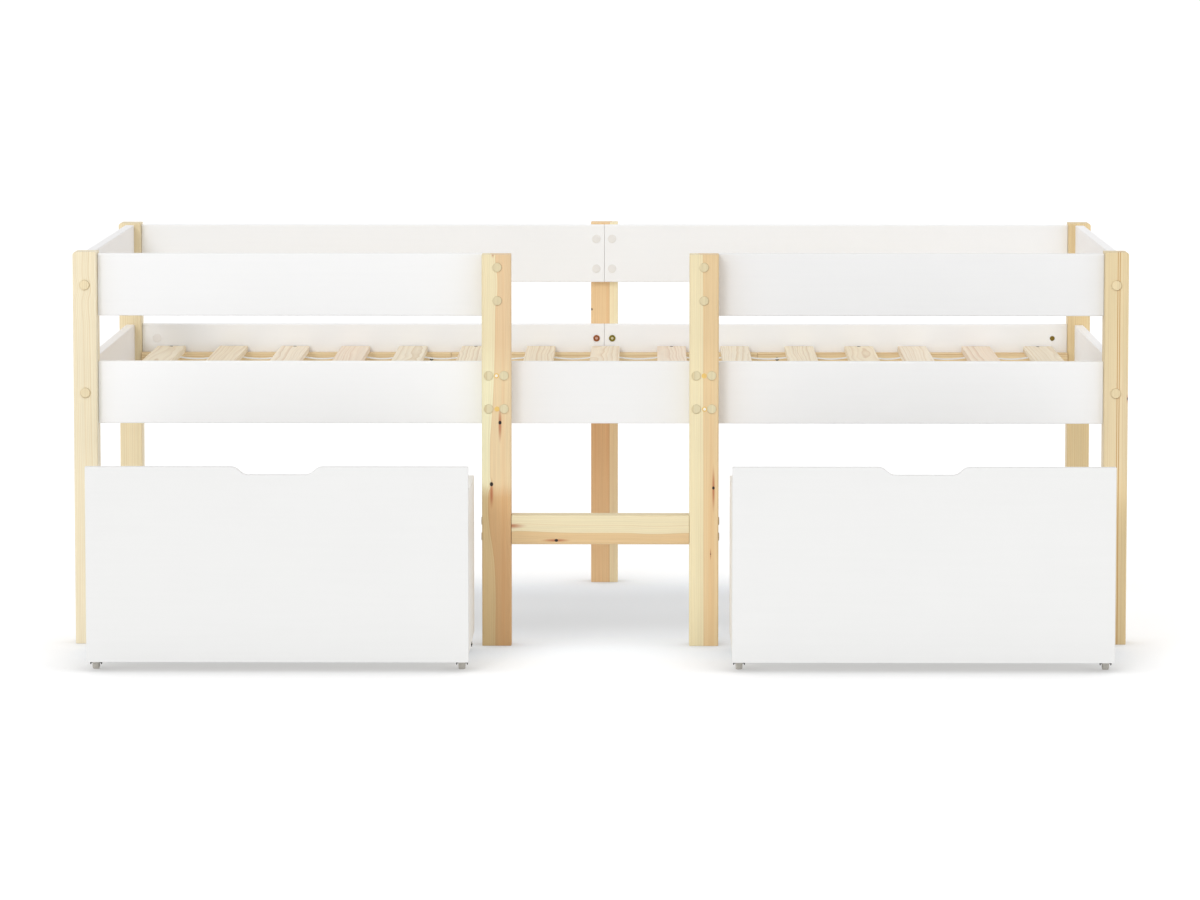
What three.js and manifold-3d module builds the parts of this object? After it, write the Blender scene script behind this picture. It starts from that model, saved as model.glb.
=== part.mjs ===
// Raised single bed in pine and white boards, with an entry step and two storage boxes on castors.
// Millimetres. +X runs along the bed, +Y from the entry side to the wall side, +Z up, floor at zero.
import * as THREE from 'three';
import { mergeVertices } from 'three/addons/utils/BufferGeometryUtils.js';
import Module from 'manifold-3d';

// Mattress space
const MATTRESS_LENGTH = 1900;
const MATTRESS_WIDTH = 900;
const END_PLAY = 17; // spare length between the two end boards
const SIDE_PLAY = 20; // spare width between the front and rear rails

// Posts, boards and step
const POST_HEIGHT = 740;
const POST_THIN = 45;
const POST_WIDE = 55;
const POST_ROUND = 3;
const POST_CORNER = 6; // round on a corner post's outer top corner
const ENTRY_POST_DROP = 3; // the entry posts stop level with the rails
const ENTRY_CENTRES = 389; // between the centre lines of the two entry posts
const BOARD_THICK = 18;
const BOARD_HEIGHT = 117;
const BOARD_ROUND = 2;
const BOARD_TOP_DROP = 4; // from the top of a post to the top of the upper boards
const BOARD_GAP = 86; // open strip between a lower and an upper board
const HIDDEN_END = 6; // an upper front rail stops this far inside its entry post's edge
const STEP_Z = 192;

// Slatted base
const BATTEN_SIZE = 25;
const BATTEN_RISE = 35; // from the underside of the lower boards
const BATTEN_MIDDLE = 624; // length of the middle one of the three rear battens
const SLAT_COUNT = 15;
const SLAT_WIDTH = 58;
const SLAT_THICK = 12;
const SLAT_END_CLEARANCE = 3;
const SLAT_END_INSET = 74.5; // from an end board to the centre of the nearest slat
const SLAT_ROUND = 1.5;
const SLAT_CORNER = 6; // round on a slat's corners, seen from above
const SLAT_DRIFT_SHARES = [0, 0, 0, -0.02, -0.09, -0.075, -0.02, 0.02, 0.085, 0.105, 0.145, 0.11, -0.03, 0, 0];
const STRAP_WIDTH = 20;
const STRAP_THICK = 1.5;
const STRAP_INSET = 130; // from a rail's inner face to the middle of its strap

// Bolts
const CAP_DIAMETER = 18;
const CAP_PROUD = 2;
const CAP_CROWN = 2.5; // how far the cap's edge is rounded in
const BOLT_SPREAD = 62.5; // between the two bolts of a board end
const BOLT_RISE = 4; // from the middle of a board up to the middle of its bolts
const JOINT_BOLT_OFFSET = 14.6; // bolt line either side of a joint in the lower front rail
const STEP_BOLT_SPREAD = 29.5;

// Storage boxes
const BOX_CLEARANCE = 14; // between a centred box and the posts on each side of it
const BOX_DEPTH = 346;
const BOX_PANEL = 16;
const BOX_BASE = 12;
const BOX_FRONT_Z = 18;
const BOX_HEADROOM = 41; // between a box front and the lower boards it rolls under
const BOX_WALL_DROP = 50; // from the top of the front to the top of the other walls
const BOX_ROUND = 1.5;
const BOX_PULLED_OUT = 370.5; // from the parked place, flush with the entry posts
const LEFT_BOX_SHIFT = 0;
const RIGHT_BOX_SHIFT = 6.5;
const NOTCH_WIDTH = 153;
const NOTCH_FLAT = 117;
const NOTCH_DEPTH = 14.5;
const NOTCH_ROUND = 6;

// Castors
const CASTOR_HEIGHT = 31;
const CASTOR_SIDE_INSET = 13.5;
const CASTOR_END_INSET = 48;
const WHEEL_DIAMETER = 25;
const WHEEL_WIDTH = 12.5;
const WHEEL_ROUND = 3;
const HUB_DIAMETER = 11;
const HUB_RECESS = 1.2;
const RIM_WIDTH = 3.5;
const AXLE_DIAMETER = 4;
const AXLE_CLEARANCE = 0.3;
const FORK_WIDTH = 21;
const FORK_THICK = 1.5;
const PLATE_LENGTH = 38;
const PLATE_THICK = 2;
const EAR_TOP = 26;
const EAR_FOOT = 9;
const FUSE_DEPTH = 1; // how far a piece of one solid is let into the next

// Fits and cuts
const SEAT_GAP = 0.3; // between two pieces that rest on each other
const END_EASE = 1; // small chamfer round a bar's sawn ends
const CUT_OVERRUN = 2; // how far a cutter reaches past what it cuts

// Facet counts
const CAP_SIDES = 12;
const WHEEL_SIDES = 16;
const CORNER_STEPS = 2;

// Places worked out from the sizes above
const INNER_LENGTH = MATTRESS_LENGTH + END_PLAY;
const INNER_WIDTH = MATTRESS_WIDTH + SIDE_PLAY;
const UPPER_BOARD_Z = POST_HEIGHT - BOARD_TOP_DROP - BOARD_HEIGHT;
const LOWER_BOARD_Z = UPPER_BOARD_Z - BOARD_GAP - BOARD_HEIGHT;
const BATTEN_Z = LOWER_BOARD_Z + BATTEN_RISE;
const RAIL_Y = INNER_WIDTH / 2 + BOARD_THICK / 2;
const CORNER_X = INNER_LENGTH / 2 + BOARD_THICK / 2;
const CORNER_INNER_X = CORNER_X - POST_THIN / 2;
const RAIL_END_X = CORNER_INNER_X - SEAT_GAP;
const ENTRY_X = ENTRY_CENTRES / 2;
const ENTRY_OUTER_X = ENTRY_X + POST_WIDE / 2;
const ENTRY_INNER_X = ENTRY_X - POST_WIDE / 2;
const MID_POST_Y = RAIL_Y + BOARD_THICK / 2 + SEAT_GAP + POST_THIN / 2;
const MID_POST_FACE_Y = MID_POST_Y + POST_THIN / 2;
const BAY_WIDTH = CORNER_INNER_X - ENTRY_OUTER_X;
const BAY_X = (CORNER_INNER_X + ENTRY_OUTER_X) / 2;
const BOX_WIDTH = BAY_WIDTH - 2 * BOX_CLEARANCE;
const BOX_FRONT_TOP = LOWER_BOARD_Z - BOX_HEADROOM;
const BOX_WALL_TOP = BOX_FRONT_TOP - BOX_WALL_DROP;
const BOX_FRONT_Y = -MID_POST_FACE_Y - BOX_PULLED_OUT;
const CENTRE_Y = (BOX_FRONT_Y + MID_POST_FACE_Y) / 2;

const MATERIALS = {
  pine: { color: 0xead9b4, roughness: 0.55, metalness: 0 },
  darkPine: { color: 0xcba272, roughness: 0.55, metalness: 0 },
  board: { color: 0xf4f3f2, roughness: 0.5, metalness: 0 },
  slat: { color: 0xefe6d2, roughness: 0.6, metalness: 0 },
  webbing: { color: 0xf2f1ee, roughness: 0.9, metalness: 0 },
  boxPanel: { color: 0xf1f1ef, roughness: 0.45, metalness: 0 },
  wheel: { color: 0xc9c8c2, roughness: 0.5, metalness: 0 },
};

const wasm = await Module();
wasm.setup();

// Solid and mesh helpers

function toSolid(geometry) {
  const bare = geometry.clone();
  bare.deleteAttribute('normal');
  bare.deleteAttribute('uv');
  const merged = mergeVertices(bare);
  const triVerts = new Uint32Array(merged.index.array);
  return new wasm.Manifold(
    new wasm.Mesh({ numProp: 3, vertProperties: merged.attributes.position.array, triVerts }),
  );
}

function toGeometry(solid) {
  const mesh = solid.getMesh();
  const geometry = new THREE.BufferGeometry();
  geometry.setAttribute('position', new THREE.BufferAttribute(mesh.vertProperties, 3));
  geometry.setIndex(new THREE.BufferAttribute(mesh.triVerts, 1));
  geometry.computeVertexNormals();
  return geometry;
}

function join(geometry, additions) {
  return toGeometry(additions.reduce((solid, extra) => solid.add(toSolid(extra)), toSolid(geometry)));
}

function cut(geometry, removal) {
  return toGeometry(toSolid(geometry).subtract(toSolid(removal)));
}

function named(name, geometry, material, x, y, z) {
  const mesh = new THREE.Mesh(geometry, new THREE.MeshStandardMaterial(MATERIALS[material]));
  mesh.name = name;
  mesh.position.set(x, y, z);
  return mesh;
}

// Outline through the given corners, each [across, up, round]

function easedShape(corners) {
  const shape = new THREE.Shape();
  corners.forEach(([x, y, round], i) => {
    const corner = new THREE.Vector2(x, y);
    const before = corners[(i + corners.length - 1) % corners.length];
    const after = corners[(i + 1) % corners.length];
    const start = new THREE.Vector2(before[0], before[1]).sub(corner).setLength(round).add(corner);
    const end = new THREE.Vector2(after[0], after[1]).sub(corner).setLength(round).add(corner);
    if (i === 0) shape.moveTo(start.x, start.y);
    else shape.lineTo(start.x, start.y);
    shape.quadraticCurveTo(corner.x, corner.y, end.x, end.y);
  });
  shape.closePath();
  return shape;
}

function rectangle(width, height, round) {
  const x = width / 2;
  const y = height / 2;
  return easedShape([[-x, -y, round], [x, -y, round], [x, y, round], [-x, y, round]]);
}

// A plate of this outline with its two faces' edges eased, centred on the origin, thick along Z

function easedPlate(shape, thick, ease) {
  const geometry = new THREE.ExtrudeGeometry(shape, {
    depth: thick - 2 * ease,
    bevelThickness: ease,
    bevelSize: ease,
    bevelOffset: -ease,
    bevelSegments: 1,
    curveSegments: CORNER_STEPS,
  });
  return geometry.translate(0, 0, ease - thick / 2);
}

// Bars of eased rectangular section, centred on the origin, long along the axis in the name

function barAlongX(length, sizeY, sizeZ, round) {
  return easedPlate(rectangle(sizeZ, sizeY, round), length, END_EASE).rotateY(Math.PI / 2);
}

function barAlongY(length, sizeX, sizeZ, round) {
  return easedPlate(rectangle(sizeX, sizeZ, round), length, END_EASE).rotateX(Math.PI / 2);
}

function barAlongZ(length, sizeX, sizeY, round) {
  return easedPlate(rectangle(sizeX, sizeY, round), length, END_EASE);
}

// Bolt caps: low round buttons, let into the face that carries them

function cap() {
  const radius = CAP_DIAMETER / 2;
  return new THREE.LatheGeometry(
    [
      new THREE.Vector2(0, -FUSE_DEPTH),
      new THREE.Vector2(radius, -FUSE_DEPTH),
      new THREE.Vector2(radius, CAP_PROUD / 2),
      new THREE.Vector2(radius - CAP_CROWN, CAP_PROUD),
      new THREE.Vector2(0, CAP_PROUD),
    ],
    CAP_SIDES,
  );
}

function capFacingY(x, faceY, z, side) {
  return cap().rotateX(side < 0 ? Math.PI : 0).translate(x, faceY, z);
}

function capFacingX(faceX, y, z, side) {
  return cap().rotateZ(-side * Math.PI / 2).translate(faceX, y, z);
}

function boardBoltHeights(boardZ) {
  const middle = boardZ + BOARD_HEIGHT / 2 + BOLT_RISE;
  return [middle - BOLT_SPREAD / 2, middle + BOLT_SPREAD / 2];
}

// Posts, standing on the floor

// What is planed off the outer top corner of a corner post to round it

function cornerWaste(sideX) {
  const waste = new THREE.Shape();
  waste.moveTo(CUT_OVERRUN, -POST_CORNER);
  waste.lineTo(CUT_OVERRUN, CUT_OVERRUN);
  waste.lineTo(-POST_CORNER, CUT_OVERRUN);
  waste.lineTo(-POST_CORNER, 0);
  waste.absarc(-POST_CORNER, -POST_CORNER, POST_CORNER, Math.PI / 2, 0, true);
  waste.closePath();
  const depth = POST_WIDE + 2 * CUT_OVERRUN;
  return new THREE.ExtrudeGeometry(waste, { depth, bevelEnabled: false, curveSegments: 2 * CORNER_STEPS })
    .translate(POST_THIN / 2, 0, -depth / 2)
    .rotateX(Math.PI / 2)
    .rotateZ(sideX < 0 ? Math.PI : 0)
    .translate(0, 0, POST_HEIGHT);
}

function cornerPost(name, sideX, sideY) {
  const bar = barAlongZ(POST_HEIGHT, POST_THIN, POST_WIDE, POST_ROUND).translate(0, 0, POST_HEIGHT / 2);
  const timber = cut(bar, cornerWaste(sideX));
  const faceY = sideY * POST_WIDE / 2;
  const caps = [LOWER_BOARD_Z, UPPER_BOARD_Z].map((z) => capFacingY(0, faceY, z + BOARD_HEIGHT / 2, sideY));
  return named(name, join(timber, caps), 'pine', sideX * CORNER_X, sideY * RAIL_Y, 0);
}

function entryPost(name, sideX) {
  const height = POST_HEIGHT - ENTRY_POST_DROP;
  const timber = barAlongZ(height, POST_WIDE, POST_THIN, POST_ROUND).translate(0, 0, height / 2);
  const faceY = -POST_THIN / 2;
  const upper = boardBoltHeights(UPPER_BOARD_Z).map((z) => capFacingY(0, faceY, z, -1));
  const lower = boardBoltHeights(LOWER_BOARD_Z).flatMap((z) =>
    [-JOINT_BOLT_OFFSET, JOINT_BOLT_OFFSET].map((x) => capFacingY(x, faceY, z, -1)));
  const stepMiddle = STEP_Z + POST_WIDE / 2;
  const step = [-STEP_BOLT_SPREAD / 2, STEP_BOLT_SPREAD / 2].map((z) =>
    capFacingX(sideX * POST_WIDE / 2, 0, stepMiddle + z, sideX));
  return named(name, join(timber, [...upper, ...lower, ...step]), 'pine', sideX * ENTRY_X, -MID_POST_Y, 0);
}

function rearMiddlePost() {
  const timber = barAlongZ(POST_HEIGHT, POST_WIDE, POST_THIN, POST_ROUND).translate(0, 0, POST_HEIGHT / 2);
  return named('rear_middle_post', timber, 'darkPine', 0, MID_POST_Y, 0);
}

// Rails and end boards

function rail(name, fromX, toX, y, boardZ) {
  const board = barAlongX(toX - fromX, BOARD_THICK, BOARD_HEIGHT, BOARD_ROUND);
  return named(name, board, 'board', (fromX + toX) / 2, y, boardZ + BOARD_HEIGHT / 2);
}

function endBoard(name, sideX, boardZ) {
  const length = 2 * (RAIL_Y - POST_WIDE / 2 - SEAT_GAP);
  const board = barAlongY(length, BOARD_THICK, BOARD_HEIGHT, BOARD_ROUND);
  return named(name, board, 'board', sideX * CORNER_X, 0, boardZ + BOARD_HEIGHT / 2);
}

function rails() {
  const entryEnd = ENTRY_INNER_X + HIDDEN_END;
  const jointEnd = SEAT_GAP / 2; // half the gap where two boards butt
  return [
    rail('upper_front_rail_left', -RAIL_END_X, -entryEnd, -RAIL_Y, UPPER_BOARD_Z),
    rail('upper_front_rail_right', entryEnd, RAIL_END_X, -RAIL_Y, UPPER_BOARD_Z),
    rail('lower_front_rail_left', -RAIL_END_X, -ENTRY_X - jointEnd, -RAIL_Y, LOWER_BOARD_Z),
    rail('lower_front_rail_middle', -ENTRY_X + jointEnd, ENTRY_X - jointEnd, -RAIL_Y, LOWER_BOARD_Z),
    rail('lower_front_rail_right', ENTRY_X + jointEnd, RAIL_END_X, -RAIL_Y, LOWER_BOARD_Z),
    rail('upper_rear_rail_left', -RAIL_END_X, -jointEnd, RAIL_Y, UPPER_BOARD_Z),
    rail('upper_rear_rail_right', jointEnd, RAIL_END_X, RAIL_Y, UPPER_BOARD_Z),
    rail('lower_rear_rail_left', -RAIL_END_X, -jointEnd, RAIL_Y, LOWER_BOARD_Z),
    rail('lower_rear_rail_right', jointEnd, RAIL_END_X, RAIL_Y, LOWER_BOARD_Z),
  ];
}

function endBoards() {
  return [['left', -1], ['right', 1]].flatMap(([side, sideX]) => [
    endBoard(`upper_end_board_${side}`, sideX, UPPER_BOARD_Z),
    endBoard(`lower_end_board_${side}`, sideX, LOWER_BOARD_Z),
  ]);
}

function entryStep() {
  const length = 2 * (ENTRY_INNER_X - SEAT_GAP);
  const tread = barAlongX(length, POST_THIN, POST_WIDE, POST_ROUND);
  return named('entry_step', tread, 'pine', 0, -MID_POST_Y, STEP_Z + POST_WIDE / 2);
}

// Slatted base

function batten(name, fromX, toX, sideY) {
  const bar = barAlongX(toX - fromX, BATTEN_SIZE, BATTEN_SIZE, BOARD_ROUND);
  const y = sideY * (INNER_WIDTH / 2 - SEAT_GAP - BATTEN_SIZE / 2);
  return named(name, bar, 'pine', (fromX + toX) / 2, y, BATTEN_Z + BATTEN_SIZE / 2);
}

function battens() {
  const joint = BATTEN_MIDDLE / 2;
  return [
    batten('front_batten', -RAIL_END_X, RAIL_END_X, -1),
    batten('rear_batten_left', -RAIL_END_X, -joint - SEAT_GAP, 1),
    batten('rear_batten_middle', -joint, joint, 1),
    batten('rear_batten_right', joint + SEAT_GAP, RAIL_END_X, 1),
  ];
}

const SLAT_Z = BATTEN_Z + BATTEN_SIZE + SEAT_GAP + SLAT_THICK / 2;
const SLAT_FIRST_X = SLAT_END_INSET - INNER_LENGTH / 2;
const SLAT_PITCH = -2 * SLAT_FIRST_X / (SLAT_COUNT - 1);

function slats() {
  const length = INNER_WIDTH - 2 * SLAT_END_CLEARANCE;
  return Array.from({ length: SLAT_COUNT }, (_, i) => {
    const drift = (SLAT_DRIFT_SHARES[i] ?? 0) * SLAT_PITCH;
    const slat = easedPlate(rectangle(SLAT_WIDTH, length, SLAT_CORNER), SLAT_THICK, SLAT_ROUND);
    const number = String(i + 1).padStart(2, '0');
    return named(`slat_${number}`, slat, 'slat', SLAT_FIRST_X + i * SLAT_PITCH + drift, 0, SLAT_Z);
  });
}

function strap(name, sideY) {
  const length = SLAT_WIDTH - 2 * SLAT_FIRST_X;
  const webbing = new THREE.BoxGeometry(length, STRAP_WIDTH, STRAP_THICK);
  const z = SLAT_Z - SLAT_THICK / 2 - SEAT_GAP - STRAP_THICK / 2;
  return named(name, webbing, 'webbing', 0, sideY * (INNER_WIDTH / 2 - STRAP_INSET), z);
}

// Storage box, placed by its group: X at its middle, Y at its front face, Z at the floor

function boxFront(name) {
  const x = BOX_WIDTH / 2;
  const flat = NOTCH_FLAT / 2;
  const lip = NOTCH_WIDTH / 2;
  const floor = BOX_FRONT_TOP - NOTCH_DEPTH;
  const outline = easedShape([
    [-x, BOX_FRONT_Z, BOX_ROUND],
    [x, BOX_FRONT_Z, BOX_ROUND],
    [x, BOX_FRONT_TOP, BOX_ROUND],
    [lip, BOX_FRONT_TOP, NOTCH_ROUND],
    [flat, floor, NOTCH_ROUND],
    [-flat, floor, NOTCH_ROUND],
    [-lip, BOX_FRONT_TOP, NOTCH_ROUND],
    [-x, BOX_FRONT_TOP, BOX_ROUND],
  ]);
  const panel = easedPlate(outline, BOX_PANEL, END_EASE).rotateX(Math.PI / 2);
  return named(name, panel, 'boxPanel', 0, BOX_PANEL / 2, 0);
}

const BOX_WALL_Z = CASTOR_HEIGHT + BOX_BASE + SEAT_GAP;
const BOX_WALL_HEIGHT = BOX_WALL_TOP - BOX_WALL_Z;
const BOX_BEHIND_FRONT = BOX_PANEL + SEAT_GAP;

function boxSide(name, sideX) {
  const length = BOX_DEPTH - BOX_BEHIND_FRONT;
  const panel = barAlongY(length, BOX_PANEL, BOX_WALL_HEIGHT, BOX_ROUND);
  const x = sideX * (BOX_WIDTH - BOX_PANEL) / 2;
  return named(name, panel, 'boxPanel', x, BOX_BEHIND_FRONT + length / 2, BOX_WALL_Z + BOX_WALL_HEIGHT / 2);
}

function boxBack(name) {
  const length = BOX_WIDTH - 2 * (BOX_PANEL + SEAT_GAP);
  const panel = barAlongX(length, BOX_PANEL, BOX_WALL_HEIGHT, BOX_ROUND);
  return named(name, panel, 'boxPanel', 0, BOX_DEPTH - BOX_PANEL / 2, BOX_WALL_Z + BOX_WALL_HEIGHT / 2);
}

const CASTOR_X = BOX_WIDTH / 2 - CASTOR_SIDE_INSET;
const CASTOR_CORNERS = [
  ['front_left', -CASTOR_X, CASTOR_END_INSET],
  ['front_right', CASTOR_X, CASTOR_END_INSET],
  ['rear_left', -CASTOR_X, BOX_DEPTH - CASTOR_END_INSET],
  ['rear_right', CASTOR_X, BOX_DEPTH - CASTOR_END_INSET],
];

// One ear of a castor's fork: wide under the plate, narrow and round at the axle

function castorEar(x) {
  const top = CASTOR_HEIGHT - PLATE_THICK / 2;
  const bottom = (WHEEL_DIAMETER - EAR_FOOT) / 2;
  const shoulder = EAR_TOP / 2;
  const foot = EAR_FOOT / 2;
  const outline = easedShape([
    [-foot, bottom, foot],
    [foot, bottom, foot],
    [shoulder, top, PLATE_THICK / 2],
    [-shoulder, top, PLATE_THICK / 2],
  ]);
  const ear = new THREE.ExtrudeGeometry(outline, {
    depth: FORK_THICK, bevelEnabled: false, curveSegments: 2 * CORNER_STEPS,
  });
  return ear.translate(0, 0, -FORK_THICK / 2).rotateX(Math.PI / 2).rotateZ(Math.PI / 2).translate(x, 0, 0);
}

function castorFork(x, y) {
  const plate = new THREE.BoxGeometry(FORK_WIDTH, PLATE_LENGTH, PLATE_THICK + FUSE_DEPTH)
    .translate(0, 0, CASTOR_HEIGHT + (FUSE_DEPTH - PLATE_THICK) / 2);
  const earX = (FORK_WIDTH - FORK_THICK) / 2;
  const axle = new THREE.CylinderGeometry(AXLE_DIAMETER / 2, AXLE_DIAMETER / 2, FORK_WIDTH + FORK_THICK, CAP_SIDES)
    .rotateZ(Math.PI / 2).translate(0, 0, WHEEL_DIAMETER / 2);
  return [plate, castorEar(-earX), castorEar(earX), axle].map((piece) => piece.translate(x, y, 0));
}

function boxBase(name) {
  const depth = BOX_DEPTH - BOX_BEHIND_FRONT;
  const board = barAlongX(BOX_WIDTH, depth, BOX_BASE, BOX_ROUND)
    .translate(0, BOX_BEHIND_FRONT + depth / 2, CASTOR_HEIGHT + BOX_BASE / 2);
  const forks = CASTOR_CORNERS.flatMap(([, x, y]) => castorFork(x, y));
  return named(name, join(board, forks), 'boxPanel', 0, 0, 0);
}

function castorWheel(name, x, y) {
  const tread = WHEEL_DIAMETER / 2;
  const half = WHEEL_WIDTH / 2;
  const bore = AXLE_DIAMETER / 2 + AXLE_CLEARANCE;
  const hub = HUB_DIAMETER / 2;
  const rim = tread - RIM_WIDTH;
  const profile = [
    [bore, -half],
    [hub, -half],
    [rim, HUB_RECESS - half],
    [rim, -half],
    [tread - WHEEL_ROUND / 2, -half],
    [tread, WHEEL_ROUND - half],
    [tread, half - WHEEL_ROUND],
    [tread - WHEEL_ROUND / 2, half],
    [rim, half],
    [rim, half - HUB_RECESS],
    [hub, half],
    [bore, half],
    [bore, -half],
  ].map(([radius, along]) => new THREE.Vector2(radius, along));
  const wheel = new THREE.LatheGeometry(profile, WHEEL_SIDES).rotateZ(-Math.PI / 2);
  return named(name, wheel, 'wheel', x, y, tread);
}

function storageBox(side, x) {
  const box = new THREE.Group();
  box.position.set(x, BOX_FRONT_Y, 0);
  box.add(
    boxFront(`${side}_box_front`),
    boxSide(`${side}_box_left_side`, -1),
    boxSide(`${side}_box_right_side`, 1),
    boxBack(`${side}_box_back`),
    boxBase(`${side}_box_base`),
    ...CASTOR_CORNERS.map(([corner, wheelX, wheelY]) => castorWheel(`${side}_box_wheel_${corner}`, wheelX, wheelY)),
  );
  return box;
}

// Whole bed

const bedFrame = new THREE.Group();
bedFrame.add(
  cornerPost('front_left_post', -1, -1),
  cornerPost('front_right_post', 1, -1),
  cornerPost('rear_left_post', -1, 1),
  cornerPost('rear_right_post', 1, 1),
  entryPost('entry_left_post', -1),
  entryPost('entry_right_post', 1),
  rearMiddlePost(),
  ...rails(),
  ...endBoards(),
  entryStep(),
  ...battens(),
  ...slats(),
  strap('front_slat_strap', -1),
  strap('rear_slat_strap', 1),
);

const bed = new THREE.Group();
bed.add(
  bedFrame,
  storageBox('left', LEFT_BOX_SHIFT - BAY_X),
  storageBox('right', RIGHT_BOX_SHIFT + BAY_X),
);
bed.position.y = -CENTRE_Y;

export default bed;
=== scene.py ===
"""Raised single bed in clear pine and white boards, with two storage boxes on castors.

Metres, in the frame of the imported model: +X along the bed, +Y from the entry side to the wall side, +Z up.
"""

import math

import bmesh
import bpy
from bpy.props import FloatProperty, PointerProperty, StringProperty
from mathutils import Euler, Matrix, Vector


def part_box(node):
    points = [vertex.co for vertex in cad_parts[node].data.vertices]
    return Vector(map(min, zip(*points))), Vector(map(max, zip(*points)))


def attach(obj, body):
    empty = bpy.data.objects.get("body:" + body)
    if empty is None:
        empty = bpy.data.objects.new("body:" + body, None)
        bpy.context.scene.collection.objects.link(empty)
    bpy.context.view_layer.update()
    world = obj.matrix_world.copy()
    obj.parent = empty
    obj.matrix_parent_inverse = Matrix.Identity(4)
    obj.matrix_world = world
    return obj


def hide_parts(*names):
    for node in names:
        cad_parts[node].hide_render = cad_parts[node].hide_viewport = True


bl_info = {
    "name": "Storage bed",
    "version": (1, 0, 0),
    "blender": (4, 5, 0),
    "location": "View3D > Sidebar > Storage bed",
    "description": "Finishes a raised pine bed with white boards and two storage boxes",
    "category": "Object",
}

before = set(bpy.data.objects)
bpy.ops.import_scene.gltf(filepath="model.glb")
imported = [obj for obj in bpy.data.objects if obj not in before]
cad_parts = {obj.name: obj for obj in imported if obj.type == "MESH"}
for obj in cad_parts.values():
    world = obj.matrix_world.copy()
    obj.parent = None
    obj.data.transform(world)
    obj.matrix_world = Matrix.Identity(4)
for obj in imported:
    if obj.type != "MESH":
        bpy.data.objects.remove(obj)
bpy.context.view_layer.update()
MM = 0.001
BED = "bed_frame"
X, Y, Z = 0, 1, 2
BOXES = ("left", "right")
# Each corner's side along the bed and across it
CORNERS = {"front_left": (-1, -1), "front_right": (1, -1), "rear_left": (-1, 1), "rear_right": (1, 1)}
SLATS = [f"slat_{number:02d}" for number in range(1, 16)]

# Bolts of the posts and what covers them
CAP_GAP = 0.8 * MM  # open ring round a bolt cap
CAP_ASIDE = 0.45 * MM  # a cap sits this far up and to the left in its hole, so that the ring opens below it
CAP_LET_IN = 1.6 * MM  # how deep a bolt cap's hole is
BOLT_SPREAD = 31.25 * MM  # from the middle of a pair of bolts to each
BOLT_RISE = 4 * MM  # from the middle of a board up to the middle of its bolts in an entry post
COVER_WIDTH = 17 * MM  # the flat bolt covers of the entry posts
COVER_GAP = 0.5 * MM  # open ring round a cover
COVER_ASIDE = 0.3 * MM  # a cover sits this far up and to the left in its hole
COVER_SPREAD = 14.6 * MM  # from the middle of a post's face to each of two covers side by side
LEFT_COVERS_SHIFT = 2 * MM  # the left post's upper covers sit this far to the right
STEP_CAP_WIDTH = 15 * MM
STEP_BOLT_SPREAD = 14.75 * MM  # from the middle of the step to each of its bolts

# Bolts of the rear rails
REAR_BOLT_RISE = 29.5 * MM  # from the middle of a lower rear rail up to its bolts and its barrel nut
REAR_BOLT_INSET = 30 * MM  # from the end of a rear rail to the bolt or nut there
REAR_BOLT_SPREAD = 16 * MM  # from the joint of the rear rails to the bolt at each side
NUT_HOLE_WIDTH, NUT_HOLE_DEPTH = 10.5 * MM, 8 * MM

BOX_BASE_THICK = 12 * MM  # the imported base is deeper, because it holds the castors too


# Sizes and colours that a user would change


class BedSizes(bpy.types.PropertyGroup):
    """Sizes of the finish on the bed's timber and fittings"""

    post_easing: FloatProperty(
        name="Post easing", description="Round along the edges of a post", default=3 * MM, unit="LENGTH"
    )
    post_corner: FloatProperty(
        name="Post corner", description="Round on a post's outer top corner", default=6 * MM, unit="LENGTH"
    )
    board_easing: FloatProperty(
        name="Board easing", description="Round along the edges of a board", default=2 * MM, unit="LENGTH"
    )
    panel_easing: FloatProperty(
        name="Panel easing", description="Round along the edges of a box panel", default=1 * MM, unit="LENGTH"
    )
    slat_easing: FloatProperty(
        name="Slat easing", description="Round along the edges of a slat", default=1.5 * MM, unit="LENGTH"
    )
    slat_corner: FloatProperty(
        name="Slat corner", description="Round on the corners of a slat", default=6 * MM, unit="LENGTH"
    )
    cap_diameter: FloatProperty(
        name="Cap diameter", description="Width of a bolt cap", default=18 * MM, unit="LENGTH"
    )
    cap_proud: FloatProperty(
        name="Cap height", description="How far a bolt cap stands off the post", default=2 * MM, unit="LENGTH"
    )
    strap_sag: FloatProperty(
        name="Strap sag", description="How far a strap hangs between two slats", default=3 * MM, unit="LENGTH"
    )


class BedColours(bpy.types.PropertyGroup):
    """Colours of the bed's finishes, as sRGB hex values"""

    stain: StringProperty(
        name="Stain", description="Stain on all bare wood, white to leave it clear", default="ffffff"
    )
    knot: StringProperty(name="Knot", description="Knots in the pine", default="170801")
    resin: StringProperty(name="Resin", description="Stained wood round a knot", default="b5653a")
    # One white paint on the rails and end boards; the small differences between these whites, the rear a
    # touch bluer, are painted light and shade that even out the light on each
    front_white: StringProperty(
        name="Front rail white", description="Paint on the front rails", default="f6f6f6"
    )
    rear_white: StringProperty(
        name="Rear rail white", description="Paint on the rear rails", default="f8f9fa"
    )
    end_white: StringProperty(
        name="End board white", description="Paint on the end boards", default="f9f8f8"
    )
    # Painted warm bounce light from the pine, on the lower left end board
    warm_bounce_white: StringProperty(
        name="Warm bounce white", description="Painted warm bounce light on the lower left end board", default="f9f5f1"
    )
    # The boxes are one white paint; the fronts' greyer white is painted shade and the walls' warmer, lighter
    # white is painted light
    panel_white: StringProperty(
        name="Box front white", description="Paint on the box fronts", default="e6e6e5"
    )
    wall_white: StringProperty(
        name="Box wall white", description="Paint on a box's other walls", default="eeece8"
    )


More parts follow.
